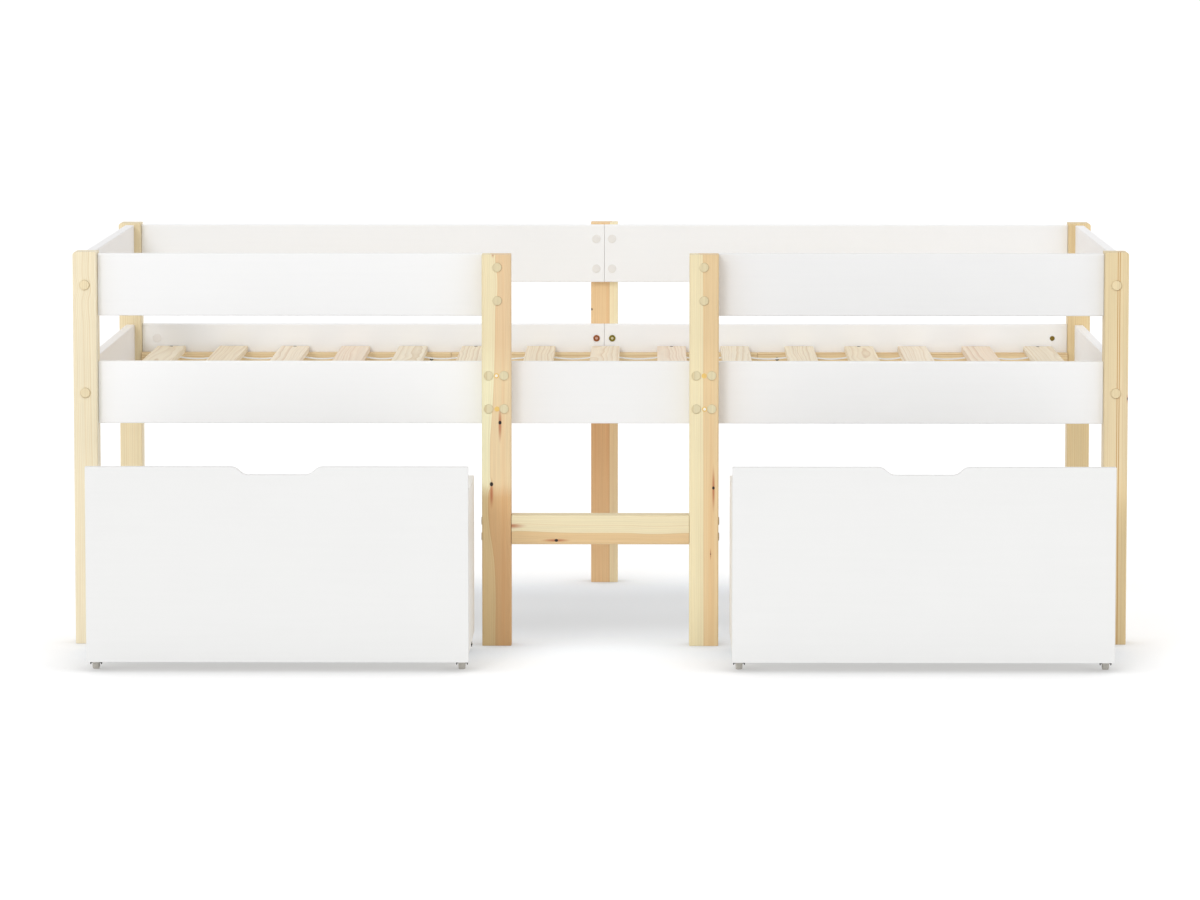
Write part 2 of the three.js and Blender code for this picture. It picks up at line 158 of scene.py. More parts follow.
def hex_colour(text):
    """An sRGB hex value as a linear colour."""
    channels = [int(text[i : i + 2], 16) / 255 for i in (0, 2, 4)]
    linear = [c / 12.92 if c <= 0.04045 else ((c + 0.055) / 1.055) ** 2.4 for c in channels]
    return (*linear, 1)


# Modelling by hand: one piece at a time, opened in edit mode


def deselect_all():
    """Lets go of every piece, because an operator acts on all that is selected."""
    bpy.ops.object.select_all(action="DESELECT")


def take(piece):
    """Selects one piece and makes it the active one."""
    deselect_all()
    piece.select_set(True)
    bpy.context.view_layer.objects.active = piece


def named(name):
    """Names the piece that was just added and puts its place into its mesh."""
    piece = bpy.context.object
    piece.name = name
    piece.data.name = name
    bpy.ops.object.transform_apply(location=True, rotation=True, scale=True)
    return piece


def block(name, low, high):
    """The start of a bar or a panel, between two corners."""
    deselect_all()
    low, high = Vector(low), Vector(high)
    bpy.ops.mesh.primitive_cube_add(size=1, location=(low + high) / 2, scale=high - low)
    return named(name)


def disc(name, centre, radius, depth, sides):
    """The start of a turned piece, with its axis along Z."""
    deselect_all()
    bpy.ops.mesh.primitive_cylinder_add(vertices=sides, radius=radius, depth=depth, location=centre)
    return named(name)


def open_mesh(piece):
    """Opens a piece in edit mode."""
    take(piece)
    bpy.ops.object.mode_set(mode="EDIT")


def close_mesh():
    """Goes back from edit mode."""
    bpy.ops.object.mode_set(mode="OBJECT")


def pick(piece, kind, test):
    """Selects the edges or faces of the open piece that pass a test."""
    bpy.ops.mesh.select_mode(type=kind)
    bpy.ops.mesh.select_all(action="DESELECT")
    mesh = bmesh.from_edit_mesh(piece.data)
    for part in mesh.edges if kind == "EDGE" else mesh.faces:
        if test(part):
            part.select_set(True)
    bmesh.update_edit_mesh(piece.data)


def ends(edge):
    """The places of an edge's two ends."""
    return edge.verts[0].co, edge.verts[1].co


def runs_along(edge, axis):
    """Whether an edge is parallel to an axis."""
    first, second = ends(edge)
    run = second - first
    return abs(run[axis]) > 0.999 * run.length


def lies_at(edge, axis, place):
    """Whether an edge lies in the plane across an axis at a place."""
    return all(abs(co[axis] - place) < 0.01 * MM for co in ends(edge))


def apply_modifier(piece, kind, **settings):
    """Gives a piece a modifier and applies it."""
    take(piece)
    made = piece.modifiers.new(kind.lower(), kind)
    for key, value in settings.items():
        setattr(made, key, value)
    bpy.ops.object.modifier_apply(modifier=made.name)


def smooth(piece, angle=35):
    """Shades rounds smoothly where they run into flat faces, and keeps edges sharper than an angle."""
    take(piece)
    bpy.ops.object.shade_smooth_by_angle(angle=math.radians(angle))
    apply_modifier(piece, "WEIGHTED_NORMAL", keep_sharp=True, weight=100)


def bar(name, low, high, axis, easing, corners=()):
    """A planed bar: corners rounded first, then its long edges, then its sawn ends.

    A corner is a test on an edge and the radius that the edge gets.
    """
    end_easing = 1 * MM
    piece = block(name, low, high)
    open_mesh(piece)
    for test, radius in corners:
        pick(piece, "EDGE", test)
        bpy.ops.mesh.bevel(offset=radius, segments=5, affect="EDGES")
    pick(piece, "EDGE", lambda edge: runs_along(edge, axis))
    bpy.ops.mesh.bevel(offset=easing, segments=3, affect="EDGES")
    pick(piece, "EDGE", lambda edge: lies_at(edge, axis, low[axis]) or lies_at(edge, axis, high[axis]))
    bpy.ops.mesh.bevel(offset=end_easing, segments=2, affect="EDGES")
    close_mesh()
    smooth(piece)
    return piece


def ease_all(piece, easing, segments=2, sharp=50):
    """Rounds every edge that is sharper than an angle."""
    apply_modifier(
        piece, "BEVEL", width=easing, segments=segments, limit_method="ANGLE", angle_limit=math.radians(sharp)
    )


def place(piece, name, matrix):
    """A copy of a piece with its own mesh, moved in its mesh."""
    copy = piece.copy()
    copy.data = piece.data.copy()
    copy.name = name
    copy.data.name = name
    bpy.context.collection.objects.link(copy)
    copy.data.transform(matrix)
    return copy


def scatter(piece, name, matrices):
    """Copies of a small piece at several places, joined as one piece; the pattern piece goes."""
    copies = [place(piece, name, matrix) for matrix in matrices]
    bpy.data.objects.remove(piece)
    return merge(name, copies)


def merge(name, parts):
    """Several pieces as one, each part with the material it has."""
    take(parts[0])
    for part in parts:
        part.select_set(True)
    if len(parts) > 1:
        bpy.ops.object.join()
    merged = bpy.context.object
    merged.name = name
    merged.data.name = name
    return merged


def cut(piece, cutter):
    """Takes one piece's shape out of another's."""
    apply_modifier(piece, "BOOLEAN", operation="DIFFERENCE", object=cutter, solver="EXACT")
    bpy.data.objects.remove(cutter)


def bore(piece, bores):
    """Drills round holes with a flat floor: (way out of the wood, place of the mouth, width, depth)."""
    for direction, mouth, width, depth in bores:
        drill = disc("drill", (0, 0, 0), width / 2, 2 * depth, sides=40)
        drill.data.transform(facing(direction, mouth))
        cut(piece, drill)
    if bores:
        smooth(piece)


def coat(piece, material):
    """Gives a piece one material all over."""
    piece.data.materials.clear()
    piece.data.materials.append(material)
    return piece


def fit(piece, body, node=None):
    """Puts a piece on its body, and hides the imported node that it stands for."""
    if node:
        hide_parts(node)
    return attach(piece, body)


def facing(direction, place_at):
    """Turns a piece made along +Z to face a direction, and moves it to a place."""
    turn = Vector((0, 0, 1)).rotation_difference(Vector(direction)).to_matrix().to_4x4()
    return Matrix.Translation(place_at) @ turn


# Materials


def new_material(name):
    """A material with no nodes yet."""
    material = bpy.data.materials.new(name)
    material.use_nodes = True
    material.node_tree.nodes.clear()
    return material


def add(tree, kind, inputs=None, **settings):
    """Adds a node. An input that is a socket is linked, and any other is set."""
    made = tree.nodes.new("ShaderNode" + kind)
    for key, value in settings.items():
        setattr(made, key, value)
    for key, value in (inputs or {}).items():
        if isinstance(value, bpy.types.NodeSocket):
            tree.links.new(value, made.inputs[key])
        else:
            made.inputs[key].default_value = value
    return made


def repeats(*sizes):
    """How often a pattern repeats in a metre along each axis, from its real sizes there in millimetres."""
    return tuple(1 / (size * MM) for size in sizes)


def layered(tree, colour, layers):
    """A colour with others mixed in or multiplied over it in turn. A layer is (colour, share, way)."""
    for tone, share, way in layers:
        colour = add(
            tree, "Mix", {"Factor": share, "A": colour, "B": tone}, data_type="RGBA", blend_type=way
        ).outputs["Result"]
    return colour


def largest(tree, values):
    """The largest of several values."""
    result, *others = values
    for value in others:
        result = add(tree, "Math", {0: result, 1: value}, operation="MAXIMUM").outputs[0]
    return result


def finish_material(material, colour, roughness, height=None, depth=0.0, **constants):
    """The shader at the end of a material, with its constants on its own sockets.

    Height is the pattern that stands up from the surface, and depth how far it does, in metres.
    """
    tree = material.node_tree
    shader = add(tree, "BsdfPrincipled", {"Base Color": colour, "Roughness": roughness, **constants})
    if height is not None:
        bump = add(tree, "Bump", {"Height": height, "Distance": depth, "Strength": 1.0})
        tree.links.new(bump.outputs[0], shader.inputs["Normal"])
    output = add(tree, "OutputMaterial")
    tree.links.new(shader.outputs[0], output.inputs["Surface"])
    return material


# Wood

# The turn that lays the middle line of a tree along each axis
GRAIN_TURN = {X: (0, math.pi / 2, 0), Y: (-math.pi / 2, 0, 0), Z: (0, 0, 0)}
BEND_REACH = 16 * MM  # the furthest that rings may swing from their line
KNOT_REACH = 4  # how far a knot pushes the rings aside, in its own radii
UNEVEN_RINGS = 1.6  # by how many rings their spacing wanders


def bent(tree, along, bends):
    """How far the rings lie off their line at each place along the timber.

    The curve node works from nothing to one: a place is a share of a metre, and a bend a share of its reach.
    """
    share = add(tree, "Math", {0: along, 1: 0.5, 2: 0.5}, operation="MULTIPLY_ADD").outputs[0]
    curve = add(tree, "FloatCurve", {"Value": share})
    points = curve.mapping.curves[0].points
    placed = [(0.5 + 0.5 * place, 0.5 + 0.5 * bend * MM / BEND_REACH) for place, bend in sorted(bends)]
    points[0].location = (0.0, placed[0][1])
    points[-1].location = (1.0, placed[-1][1])
    for place, level in placed:
        points.new(place, level)
    curve.mapping.update()
    swing = add(
        tree, "Math", {0: curve.outputs[0], 1: 2 * BEND_REACH, 2: -BEND_REACH}, operation="MULTIPLY_ADD"
    )
    return swing.outputs[0]


def by_place(tree, value, stops):
    """A colour that changes with a place. Stops are (metres, colour), up to a metre either way."""
    share = add(tree, "Math", {0: value, 1: 0.5, 2: 0.5}, operation="MULTIPLY_ADD").outputs[0]
    ramp = add(tree, "ValToRGB", {"Fac": share})
    (first, first_colour), *others = sorted(stops)
    for where, colour in others:
        ramp.color_ramp.elements.new(0.5 + 0.5 * where).color = colour
    ramp.color_ramp.elements[0].color = first_colour
    ramp.color_ramp.elements[0].position = 0.5 + 0.5 * first
    ramp.color_ramp.elements[-1].color = others[-1][1]
    return ramp.outputs[0]


def ring_lines(tree, radius, ring):
    """Ring lines: a slow rise to a dark edge, then a clean fall, and no two rings alike."""
    # The rings' spacing changes over about 8 mm
    scale, = repeats(8.33)
    uneven = add(
        tree, "TexNoise", {"W": radius, "Scale": scale, "Detail": 1.0}, noise_dimensions="1D"
    ).outputs["Fac"]
    count = add(tree, "Math", {0: radius, 1: ring * MM}, operation="DIVIDE").outputs[0]
    count = add(tree, "Math", {0: uneven, 1: UNEVEN_RINGS, 2: count}, operation="MULTIPLY_ADD").outputs[0]
    part = add(tree, "Math", {0: count}, operation="FRACT").outputs[0]
    line = add(tree, "ValToRGB", {"Fac": part})
    for stop, grey in ((0.35, 0.05), (0.72, 0.55), (0.9, 1.0)):
        line.color_ramp.elements.new(stop).color = (grey, grey, grey, 1)
    line.color_ramp.elements[0].color = (0, 0, 0, 1)
    line.color_ramp.elements[-1].color = (0, 0, 0, 1)
    which = add(tree, "Math", {0: count}, operation="FLOOR").outputs[0]
    weight = add(tree, "TexWhiteNoise", {"W": which}, noise_dimensions="1D").outputs["Value"]
    weight = add(tree, "Math", {0: weight, 1: 0.8, 2: 0.2}, operation="MULTIPLY_ADD").outputs[0]
    return add(tree, "Math", {0: line.outputs[0], 1: weight}, operation="MULTIPLY").outputs[0]


def knot_marks(tree, at, grain, knots):
    """For each knot: the push it gives the rings, the stain along the grain, and its dark oval middle."""
    pushes, stains, middles = [], [], []
    for centre, size, length, slide in knots:
        size, length = size * MM, length * MM
        stain_centre = Vector(centre)
        stain_centre[grain] += slide * MM
        squeeze = [1.0, 1.0, 1.0]
        squeeze[grain] = 0.8
        apart = add(tree, "VectorMath", {0: at, 1: centre}, operation="SUBTRACT").outputs[0]
        apart = add(tree, "VectorMath", {0: apart, 1: squeeze}, operation="MULTIPLY").outputs[0]
        apart = add(tree, "VectorMath", {0: apart}, operation="LENGTH").outputs["Value"]
        squeeze[grain] = size * 3 / length
        drawn = add(tree, "VectorMath", {0: at, 1: stain_centre}, operation="SUBTRACT").outputs[0]
        drawn = add(tree, "VectorMath", {0: drawn, 1: squeeze}, operation="MULTIPLY").outputs[0]
        drawn = add(tree, "VectorMath", {0: drawn}, operation="LENGTH").outputs["Value"]
        # Each mark is full up to one distance and gone from another
        for marks, distance, full, gone, level in (
            (pushes, apart, 0.0, size * KNOT_REACH, size * 0.9),
            (stains, drawn, size * 0.2, size * 1.5, 0.85),
            (middles, apart, size * 0.85, size * 1.15, 1.0),
        ):
            mark = add(
                tree, "MapRange",
                {"Value": distance, "From Min": full, "From Max": gone, "To Min": level, "To Max": 0.0},
                interpolation_type="SMOOTHSTEP",
            )
            marks.append(mark.outputs[0])
    return pushes, stains, middles


def from_pith(tree, trunk, seed, swirl):
    """How far each place lies from the middle line of the tree, which wanders slowly along its length."""
    # It wanders over about 60 mm across the grain and 330 mm along it
    slow = add(tree, "VectorMath", {0: trunk, 1: repeats(62.5, 62.5, 333)}, operation="MULTIPLY").outputs[0]
    slow = add(tree, "VectorMath", {0: slow, 1: (seed, seed * 2, seed * 3)}, operation="ADD").outputs[0]
    wander = add(tree, "TexNoise", {"Vector": slow, "Scale": 1.0, "Detail": 2.0}).outputs["Fac"]
    wander = add(tree, "Math", {0: wander, 1: 0.5}, operation="SUBTRACT").outputs[0]
    across = add(tree, "VectorMath", {0: trunk, 1: (1, 1, 0)}, operation="MULTIPLY").outputs[0]
    radius = add(tree, "VectorMath", {0: across}, operation="LENGTH").outputs["Value"]
    return add(tree, "Math", {0: wander, 1: 4 * swirl * MM, 2: radius}, operation="MULTIPLY_ADD").outputs[0]


def dark_streaks(tree, radius, streaks):
    """Single dark ring lines, each with its own radius in metres, width in millimetres and strength."""
    lines = []
    for line_radius, width, strength in streaks:
        off = add(tree, "Math", {0: radius, 1: line_radius}, operation="SUBTRACT").outputs[0]
        off = add(tree, "Math", {0: off}, operation="ABSOLUTE").outputs[0]
        full, gone = width * 0.2 * MM, width * 0.7 * MM
        line = add(
            tree, "MapRange",
            {"Value": off, "From Min": full, "From Max": gone, "To Min": strength, "To Max": 0.0},
            interpolation_type="SMOOTHSTEP",
        )
        lines.append(line.outputs[0])
    return lines


def stained(tone, stain):
    """A wood's colour under a stain, both as sRGB hex values, as a linear colour."""
    return tuple(wood * cover for wood, cover in zip(hex_colour(tone), hex_colour(stain)))


def pine(
    name, grain, pith, heart, ring, figure, seed, colours, lean=(0, 0), bends=(), streaks=(), painted_shade=(),
    knots=(), swirl=3.0
):
    """Clear lacquered pine, planed: pale sapwood round warmer heartwood, with thin darker ring lines
    that the saw cuts lengthwise, fine fibres, and here and there a knot with resin-stained wood along it.

    grain is the axis the timber runs along; pith is a point on the middle line of the tree; heart is the
    radius of the heartwood in metres; ring is the ring width in millimetres; figure is how strongly the
    rings show; seed sets one timber apart from the next; colours are sapwood, heartwood and ring lines;
    lean is how the tree's middle line leans from the grain axis, in radians; swirl is how far the trunk
    wanders, in millimetres. bends are (place along the timber, millimetres) that the rings swing out there;
    streaks are (radius, width mm, strength) of single dark lines; painted_shade is (place, colour) laid
    over the wood along its length, painted shade that darkens it where less light falls. A knot is (place,
    radius mm, length of its stain mm, how far the stain lies up the grain mm).
    """
    tones = bpy.context.scene.bed_colours
    sap, core, late = (stained(tone, tones.stain) for tone in colours)
    material = new_material(name)
    tree = material.node_tree
    at = add(tree, "TexCoord").outputs["Object"]
    along = add(tree, "SeparateXYZ", {0: at}).outputs[grain]
    turn = Vector(GRAIN_TURN[grain]) + Vector((lean[0], lean[1], 0))
    trunk = add(
        tree, "Mapping", {"Vector": at, "Location": pith, "Rotation": turn}, vector_type="TEXTURE"
    ).outputs[0]
    radius = from_pith(tree, trunk, seed, swirl)
    if bends:
        radius = add(tree, "Math", {0: radius, 1: bent(tree, along, bends)}, operation="SUBTRACT").outputs[0]
    pushes, stains, middles = knot_marks(tree, at, grain, knots)
    for push in pushes:
        radius = add(tree, "Math", {0: radius, 1: push}, operation="ADD").outputs[0]

    # Fibres about 1 mm wide and 100 mm long, and soft bands about 12 mm wide
    fibre_size, band_size = repeats(1.25, 1.25, 111), repeats(11.76, 11.76, 625)
    fine = add(tree, "VectorMath", {0: trunk, 1: fibre_size}, operation="MULTIPLY").outputs[0]
    fine = add(tree, "TexNoise", {"Vector": fine, "Scale": 1.0, "Detail": 3.0}).outputs["Fac"]
    broad = add(tree, "VectorMath", {0: trunk, 1: band_size}, operation="MULTIPLY").outputs[0]
    broad = add(tree, "VectorMath", {0: broad, 1: (seed * 5, 0, seed)}, operation="ADD").outputs[0]
    broad = add(tree, "TexNoise", {"Vector": broad, "Scale": 1.0, "Detail": 2.0}).outputs["Fac"]

    full, gone = heart - 1 * MM, heart + 1 * MM
    inside = add(
        tree, "MapRange", {"Value": radius, "From Min": full, "From Max": gone, "To Min": 1.0, "To Max": 0.0},
        interpolation_type="SMOOTHSTEP",
    ).outputs[0]
    lines = add(tree, "Math", {0: ring_lines(tree, radius, ring), 1: figure}, operation="MULTIPLY").outputs[0]
    lines = largest(tree, [lines, *dark_streaks(tree, radius, streaks)])
    # The heartwood blushes in bands
    blush = add(
        tree, "MapRange", {"Value": broad, "From Min": 0.45, "From Max": 0.75, "To Min": 0.0, "To Max": 0.35},
        interpolation_type="SMOOTHSTEP",
    ).outputs[0]
    blush = add(tree, "Math", {0: blush, 1: inside}, operation="MULTIPLY").outputs[0]
    # Fibres and bands make the wood a little darker or lighter
    shade = add(tree, "Math", {0: fine, 1: 0.22, 2: 0.77}, operation="MULTIPLY_ADD").outputs[0]
    shade = add(tree, "Math", {0: broad, 1: 0.14, 2: shade}, operation="MULTIPLY_ADD").outputs[0]
    grey = add(tree, "CombineColor", {"Red": shade, "Green": shade, "Blue": shade}).outputs[0]
    layers = [
        (core, inside, "MIX"), (late, lines, "MIX"), (late, blush, "MIX"), (grey, 1.0, "MULTIPLY")
    ]
    # Painted shade, darker where less light falls, laid over the wood along its length
    if painted_shade:
        overlay = by_place(tree, along, [(where, hex_colour(tone)) for where, tone in painted_shade])
        layers.append((overlay, 1.0, "MULTIPLY"))
    if knots:
        layers.append((hex_colour(tones.resin), largest(tree, stains), "MIX"))
        layers.append((hex_colour(tones.knot), largest(tree, middles), "MIX"))
    colour = layered(tree, sap, layers)

    relief = add(tree, "Math", {0: fine, 1: 0.4, 2: lines}, operation="MULTIPLY_ADD").outputs[0]
    gloss = add(tree, "Math", {0: fine, 1: 0.14, 2: 0.4}, operation="MULTIPLY_ADD").outputs[0]
    return finish_material(material, colour, gloss, relief, 0.06 * MM, IOR=1.5)


# Paint, webbing, metal and plastic


def painted_board(name, grain, tone, seed, brightness=1.0):
    """Pine board sprayed with satin white enamel: an even white whose film follows the wood's grain
    so faintly that it shows only as a soft unevenness in the shine and a slight drift of the white.

    The grain under the film is 7 mm wide and 200 mm long, the drift is as wide as a hand, and the
    spray's own grain is about 1 mm, coarser than it is, so that it shows."""
    material = new_material(name)
    tree = material.node_tree
    at = add(tree, "TexCoord").outputs["Object"]
    sizes = [6.67, 6.67, 6.67]
    sizes[grain] = 200
    along = add(tree, "VectorMath", {0: at, 1: repeats(*sizes)}, operation="MULTIPLY").outputs[0]
    along = add(tree, "VectorMath", {0: along, 1: (seed, seed, seed)}, operation="ADD").outputs[0]
    grain_lines = add(tree, "TexNoise", {"Vector": along, "Scale": 1.0, "Detail": 3.0}).outputs["Fac"]
    drift_scale, spray_scale = repeats(143, 1.11)
    drift = add(tree, "TexNoise", {"Vector": at, "Scale": drift_scale, "Detail": 1.0}).outputs["Fac"]
    spray = add(tree, "TexNoise", {"Vector": at, "Scale": spray_scale, "Detail": 1.0}).outputs["Fac"]
    level = add(
        tree, "Math", {0: grain_lines, 1: 0.02, 2: brightness - 0.025}, operation="MULTIPLY_ADD"
    ).outputs[0]
    level = add(tree, "Math", {0: drift, 1: 0.02, 2: level}, operation="MULTIPLY_ADD").outputs[0]
    grey = add(tree, "CombineColor", {"Red": level, "Green": level, "Blue": level}).outputs[0]
    colour = layered(tree, hex_colour(tone), [(grey, 1.0, "MULTIPLY")])
    relief = add(tree, "Math", {0: spray, 1: 0.25, 2: grain_lines}, operation="MULTIPLY_ADD").outputs[0]
    gloss = add(tree, "Math", {0: spray, 1: 0.12, 2: 0.4}, operation="MULTIPLY_ADD").outputs[0]
    return finish_material(material, colour, gloss, relief, 0.02 * MM, IOR=1.5)


def polyester_webbing():
    """Woven polyester strap: bright white cross ribs 1.6 mm apart, a touch grey between, and no shine."""
    material = new_material("woven polyester webbing")
    tree = material.node_tree
    at = add(tree, "TexCoord").outputs["Object"]
    once = math.pi / 10  # at this scale the wave texture repeats once in each unit
    rib_scale, thread_scale = repeats(1.6, 0.9)
    rib = add(tree, "Mapping", {"Vector": at, "Scale": (rib_scale, 0, 0)}).outputs[0]
    rib = add(tree, "TexWave", {"Vector": rib, "Scale": once}, wave_profile="SIN").outputs["Fac"]
    thread = add(tree, "Mapping", {"Vector": at, "Scale": (0, thread_scale, 0)}).outputs[0]
    thread = add(
        tree, "TexWave", {"Vector": thread, "Scale": once}, wave_profile="SIN", bands_direction="Y"
    ).outputs["Fac"]
    weave = add(tree, "Math", {0: rib, 1: thread}, operation="MULTIPLY").outputs[0]
    colour = layered(tree, hex_colour("e2e1dd"), [(hex_colour("f6f5f2"), weave, "MIX")])
    return finish_material(material, colour, 0.9, weave, 0.2 * MM, **{"Sheen Weight": 0.15})


def plated_steel(name, tone, dull, spread):
    """Pressed or turned steel with a thin plating: a grey or brassy metal whose shine is broken into
    soft patches about 4 mm wide by the plating bath, with scuffs about 1 mm wide. Spread is how much
    the scuffs roughen it."""
    material = new_material(name)
    tree = material.node_tree
    at = add(tree, "TexCoord").outputs["Object"]
    patch_scale, scuff_scale = repeats(3.85, 1.11)
    patch = add(tree, "TexNoise", {"Vector": at, "Scale": patch_scale, "Detail": 2.0}).outputs["Fac"]
    scuff = add(tree, "TexNoise", {"Vector": at, "Scale": scuff_scale, "Detail": 3.0}).outputs["Fac"]
    colour = layered(tree, hex_colour(tone), [(hex_colour(dull), patch, "MIX")])
    gloss = add(tree, "Math", {0: scuff, 1: spread, 2: 0.28}, operation="MULTIPLY_ADD").outputs[0]
    return finish_material(material, colour, gloss, scuff, 0.02 * MM, Metallic=1.0)


def moulded_plastic(name, tone, shade, roughness=0.42):
    """Injection-moulded plastic: even in colour but for clouds about 8 mm wide, with a soft shine and
    the faint orange-peel of the mould, about 1 mm wide."""
    material = new_material(name)
    tree = material.node_tree
    at = add(tree, "TexCoord").outputs["Object"]
    cloud_scale, peel_scale = repeats(8.33, 0.909)
    cloud = add(tree, "TexNoise", {"Vector": at, "Scale": cloud_scale, "Detail": 2.0}).outputs["Fac"]
    peel = add(tree, "TexNoise", {"Vector": at, "Scale": peel_scale, "Detail": 1.0}).outputs["Fac"]
    colour = layered(tree, hex_colour(tone), [(hex_colour(shade), cloud, "MIX")])
    gloss = add(tree, "Math", {0: peel, 1: 0.12, 2: roughness}, operation="MULTIPLY_ADD").outputs[0]
    return finish_material(material, colour, gloss, peel, 0.02 * MM, IOR=1.5)


# Posts

# A corner post's caps sit at the middles of these boards
CAPPED_BOARDS = ("upper_front_rail_left", "lower_front_rail_left")


def middle(node):
    """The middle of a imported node's box."""
    low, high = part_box(node)
    return (low + high) / 2


def corner_timber(corner):
    """The box of a corner post's timber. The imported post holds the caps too, which stand off its face."""
    low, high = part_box(f"{corner}_post")
    proud = bpy.context.scene.bed_sizes.cap_proud
    if CORNERS[corner][Y] < 0:
        low.y += proud
    else:
        high.y -= proud
    return low, high


def entry_timber(side):
    """The box of an entry post's timber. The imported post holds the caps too, in front and at its side."""
    low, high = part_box(f"entry_{side}_post")
    proud = bpy.context.scene.bed_sizes.cap_proud
    low.y += proud
    if side == "left":
        low.x += proud
    else:
        high.x -= proud
    return low, high


def cover_places(side):
    """Where the bolt covers lie on the front of an entry post: along the bed and up."""
    low, high = entry_timber(side)
    x = (low.x + high.x) / 2
    shift = LEFT_COVERS_SHIFT if side == "left" else 0.0
    heights = (-BOLT_SPREAD, BOLT_SPREAD)
    upper = middle("upper_front_rail_left").z + BOLT_RISE
    lower = middle("lower_front_rail_left").z + BOLT_RISE
    places = [(x + shift, upper + z) for z in heights]
    return places + [(x + dx, lower + z) for z in heights for dx in (-COVER_SPREAD, COVER_SPREAD)]


def step_bolt_places(side):
    """Where the step's bolts lie, on the outer side of an entry post."""
    low, high = entry_timber(side)
    outer = low.x if side == "left" else high.x
    y, z = (low.y + high.y) / 2, middle("entry_step").z
    return [Vector((outer, y, z - STEP_BOLT_SPREAD)), Vector((outer, y, z + STEP_BOLT_SPREAD))]


def post(node, low, high, material, corners=(), bores=()):
    """A planed post with the holes of its caps."""
    sizes = bpy.context.scene.bed_sizes
    piece = bar(f"{node}_timber", low, high, Z, sizes.post_easing, corners=corners)
    bore(piece, bores)
    return fit(coat(piece, material), BED, node)


def corner_wood(corner, centre):
    """Each corner post is sawn from a tree of its own, whose middle lies outside the post."""
    aside, look = {
        "front_left": (-95 * MM, dict(
            ring=3.2, figure=0.6, seed=1.0, swirl=1.6, streaks=((91.5 * MM, 1.2, 0.4),),
            bends=((0.6, 0), (0.645, -2.5), (0.67, 2), (0.7, -1.5), (0.74, 0)),
            colours=("f5e9cb", "e9cfa4", "d9b878"),
        )),
        "front_right": (70 * MM, dict(
            ring=3.4, figure=0.32, seed=4.0, swirl=0.5,
            streaks=((68.1 * MM, 1.7, 1.0), (64.3 * MM, 1.7, 1.0)),
            knots=(((990 * MM, -311 * MM, 465 * MM), 2.0, 24, 0),),
            # Painted shade: darker and warmer towards the foot, where the right box shades the post, and a
            # touch darker at the top
            painted_shade=(
                (0.0, "fcf5e6"), (0.12, "fffaee"), (0.26, "fffbf0"), (0.34, "ffffff"), (0.48, "ffffff"),
                (0.62, "faf9f4"),
            ),
            colours=("ecd9b0", "e6cc9c", "c9985a"),
        )),
        "rear_left": (-80 * MM, dict(
            ring=3.5, figure=0.45, seed=7.0, swirl=0.6, colours=("efdfb9", "e6cc9c", "cda765"),
        )),
        "rear_right": (80 * MM, dict(
            ring=3.5, figure=0.5, seed=9.0, swirl=0.6, colours=("ead2a1", "e4c791", "ca9d5e"),
        )),
    }[corner]
    outwards = 25 * MM * CORNERS[corner][Y]
    pith = (centre.x + aside, centre.y + outwards, centre.z)
    return pine(f"clear pine {corner.replace('_', ' ')} post", Z, pith, 30 * MM, **look)


def left_entry_wood(face):
    """Heartwood whose edge swings to the right below the lower rail, three knots, and painted shade: a
    darker, warmer foot where the left box shades the post, and a touch darker top.
    """
    knots = (
        ((-187.9 * MM, face, 421.7 * MM), 2.9, 84, -3), ((-204 * MM, face, 305.6 * MM), 3.2, 70, -17),
        ((-200.8 * MM, face, 741 * MM), 2.4, 26, 0),
    )
    bends = (
        (0.03, 0), (0.087, -0.4), (0.134, 0.5), (0.181, 4.1), (0.229, 9.9), (0.276, 12), (0.306, 8.6),
        (0.374, 8.3), (0.417, 6.1), (0.464, 3.4), (0.511, 1.5), (0.577, 0.3), (0.633, -0.3), (0.68, -4),
        (0.734, -0.4),
    )
    # Painted shade: darker and warmer below about 0.3 m, with a sharp edge where the left box's shadow ends,
    # and a touch darker at the top
    painted_shade = (
        (0.0, "e2c9af"), (0.15, "ecd4be"), (0.279, "eedac5"), (0.308, "ffffff"), (0.5, "ffffff"),
        (0.57, "f7f0ed"),
    )
    return pine(
        "clear pine entry left post", Z, (-128 * MM, -300 * MM, 370 * MM), 78 * MM, ring=3.3, figure=0.32,
        seed=12.0, swirl=0.7, streaks=((78.4 * MM, 1.6, 0.6),), knots=knots, bends=bends, painted_shade=painted_shade,
        colours=("f7f0c8", "f1d8ac", "e0b582"),
    )


def right_entry_wood(face):
    """A straight edge of heartwood that leans a little, and two knots, with painted shade a touch darker at
    the foot and near the top.
    """
    knots = (
        ((212.3 * MM, face, 298.9 * MM), 2.4, 104, -2), ((207.2 * MM, face, 173.9 * MM), 0.9, 28, 0)
    )
    return pine(
        "clear pine entry right post", Z, (262 * MM, -302 * MM, 370 * MM), 77 * MM, ring=3.3, figure=0.32,
        seed=15.0, swirl=0.5, lean=(0, -0.0037), streaks=((77.3 * MM, 1.4, 0.5),), knots=knots,
        # Painted shade: a touch darker at the foot and near the top
        painted_shade=((0.0, "f5f3ee"), (0.12, "ffffff"), (0.5, "ffffff"), (0.58, "f7f6f5")),
        colours=("f5e8bf", "f0d3a3", "dbad74"),
    )


